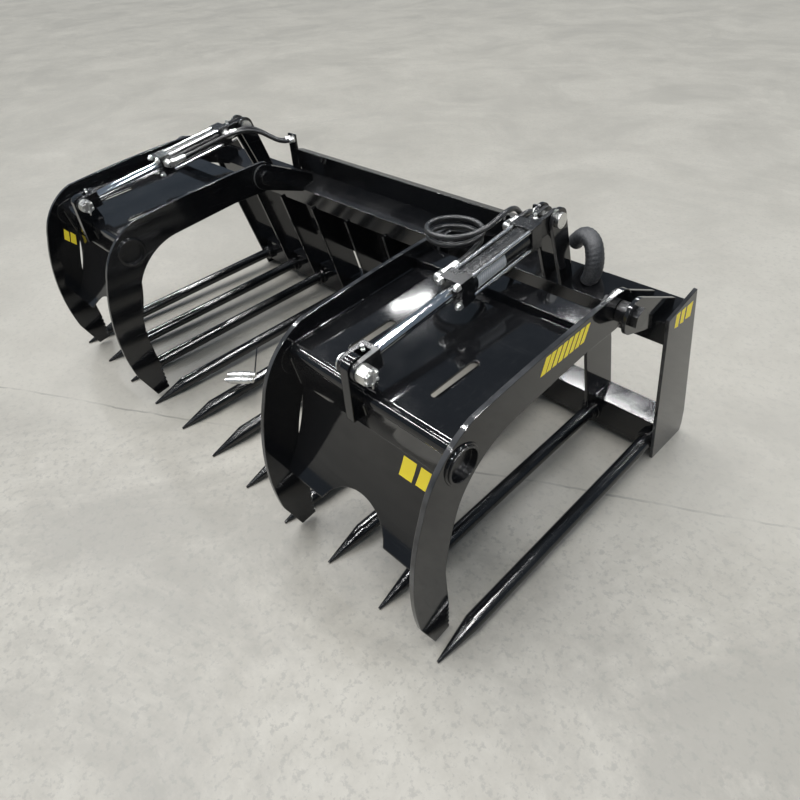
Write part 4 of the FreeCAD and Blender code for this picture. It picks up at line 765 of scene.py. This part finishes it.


# Labels: plain painted bars in yellow on four of the plates, thin as film and given a faint
# painted glow, and a plain white label with faint grey lines, wrapped round the right barrel.
RIGHT_PLATE_FACE = 998.2
RIGHT_END_FACE = 1066.5
LEFT_PLATE_FACE = -985.8
FRONT_ARC_FORWARD = 1030.66
FRONT_ARC_DROP = 122.16
FRONT_ARC_RADIUS = 483.04
FRONT_BAR_TOP = 476.0
LABEL_RADIUS = 30.25
LABEL_START = 214.0
LABEL_LENGTH = 102.0
LABEL_HALF_ANGLE = 34.0
LABEL_PARTS = 12
glowing_yellow_film, nodes, links, shader = new_material("glowing_yellow_film")
where = object_place(nodes, links)
faded = spread(nodes, links, noise(nodes, links, where, 24.0, 4.0, 0.6), 0.3, 0.7)
links.new(two_tone(nodes, links, faded, (0.92, 0.72, 0.02), (0.98, 0.79, 0.03)), shader.inputs["Base Color"])
links.new(spread(nodes, links, faded, 0.0, 1.0, 0.42, 0.52), shader.inputs["Roughness"])
# Painted glow: a faint yellow emission makes the bars shine as if lit, though they are no lamp.
shader.inputs["Emission Color"].default_value = (0.95, 0.74, 0.06, 1.0)
shader.inputs["Emission Strength"].default_value = 0.2
white_film, nodes, links, shader = new_material("white_film")
where = object_place(nodes, links, (1.0, 1.0, 1.0), (0.149, 0.0, 0.0))
rows = nodes.new("ShaderNodeTexWave")
rows.bands_direction = "Y"
set_sockets(rows, Scale=46.0, Distortion=0.0)
links.new(where, rows.inputs["Vector"])
printed = spread(nodes, links, rows.outputs["Fac"], 0.80, 0.86)
label_colour = two_tone(nodes, links, printed, (0.90, 0.90, 0.89), (0.66, 0.66, 0.67))
links.new(label_colour, shader.inputs["Base Color"])
shader.inputs["Roughness"].default_value = 0.35


def film(name, low, lift, material, body):
    mesh = bmesh.new()
    under = [[mesh.verts.new(point) for point in row] for row in low]
    over = [[mesh.verts.new(point + lift) for point in row] for row in low]
    last = len(low) - 1
    wide = len(low[0]) - 1
    for row in range(last):
        for step in range(wide):
            for skin in (under, over):
                mesh.faces.new((skin[row][step], skin[row][step + 1], skin[row + 1][step + 1],
                                skin[row + 1][step]))
        for edge in (0, wide):
            mesh.faces.new((under[row][edge], under[row + 1][edge], over[row + 1][edge], over[row][edge]))
    for step in range(wide):
        for row in (0, last):
            mesh.faces.new((under[row][step], over[row][step], over[row][step + 1], under[row][step + 1]))
    add_piece(name, mesh, material, body)


for number in range(8):
    rear = -598.0 + 20.8 * number
    front = rear + (15.0 if number else 17.0)
    rise = 0.85 * number
    film(f"outer_plate_bar_{number + 1}", [
        [metres(RIGHT_PLATE_FACE, rear - 6.0, 634.0 + rise),
         metres(RIGHT_PLATE_FACE, front - 6.0, 634.5 + rise)],
        [metres(RIGHT_PLATE_FACE, rear + 9.0, 677.0 + rise * 1.1),
         metres(RIGHT_PLATE_FACE, front + 9.0, 677.5 + rise * 1.1)],
    ], Vector((0.0006, 0.0, 0.0)), glowing_yellow_film, "right_arm")
for number, (rear, front) in enumerate([(-126.0, -106.0), (-98.0, -78.0), (-70.0, -40.0)]):
    film(f"end_plate_bar_{number + 1}", [
        [metres(RIGHT_END_FACE, rear + 8.0, 545.0), metres(RIGHT_END_FACE, front + 8.0, 541.0)],
        [metres(RIGHT_END_FACE, rear, 588.0), metres(RIGHT_END_FACE, front, 590.0)],
    ], Vector((0.0004, 0.0, 0.0)), glowing_yellow_film, "root")
for number, (rear, front, drop) in enumerate([(-908.0, -893.0, 0.0), (-890.0, -874.0, 19.0)]):
    film(f"left_plate_bar_{number + 1}", [
        [metres(LEFT_PLATE_FACE, rear + 2.0, 474.0 - drop),
         metres(LEFT_PLATE_FACE, front + 2.0, 457.0 - drop)],
        [metres(LEFT_PLATE_FACE, rear + 14.0, 512.0 - drop),
         metres(LEFT_PLATE_FACE, front + 12.0, 495.0 - drop)],
    ], Vector((0.0006, 0.0, 0.0)), glowing_yellow_film, "left_arm")


def front_sheet_place(x, height):
    drop = CLAW_TOP - height
    forward = FRONT_ARC_FORWARD - math.sqrt(FRONT_ARC_RADIUS ** 2 - (drop - FRONT_ARC_DROP) ** 2)
    return claw_place(x, forward, drop)


for number, (left, right, lean, low) in enumerate([(822.0, 862.0, 10.0, 418.0), (874.0, 904.0, 12.0, 420.0)]):
    rows = []
    for step in range(9):
        height = low + (FRONT_BAR_TOP - low) * step / 8
        shift = lean * (height - low) / 56.0
        rows.append([front_sheet_place(x + shift, height) + Vector((0.0, 0.0002, 0.0))
                     for x in (left, right)])
    film(f"front_sheet_bar_{number + 1}", rows, Vector((0.0, -0.0008, 0.0)), glowing_yellow_film, "right_arm")

rows = []
for place in (LABEL_START, LABEL_START + LABEL_LENGTH):
    turns = [math.radians(LABEL_HALF_ANGLE * (2.0 * part / LABEL_PARTS - 1.0))
             for part in range(LABEL_PARTS + 1)]
    rows.append([on_axis(1.0, -LABEL_RADIUS * math.cos(turn), place, LABEL_RADIUS * math.sin(turn))
                 for turn in turns])
film("barrel_label", rows, Vector((0.0004, 0.0, 0.0002)), white_film, "right_barrel_body")
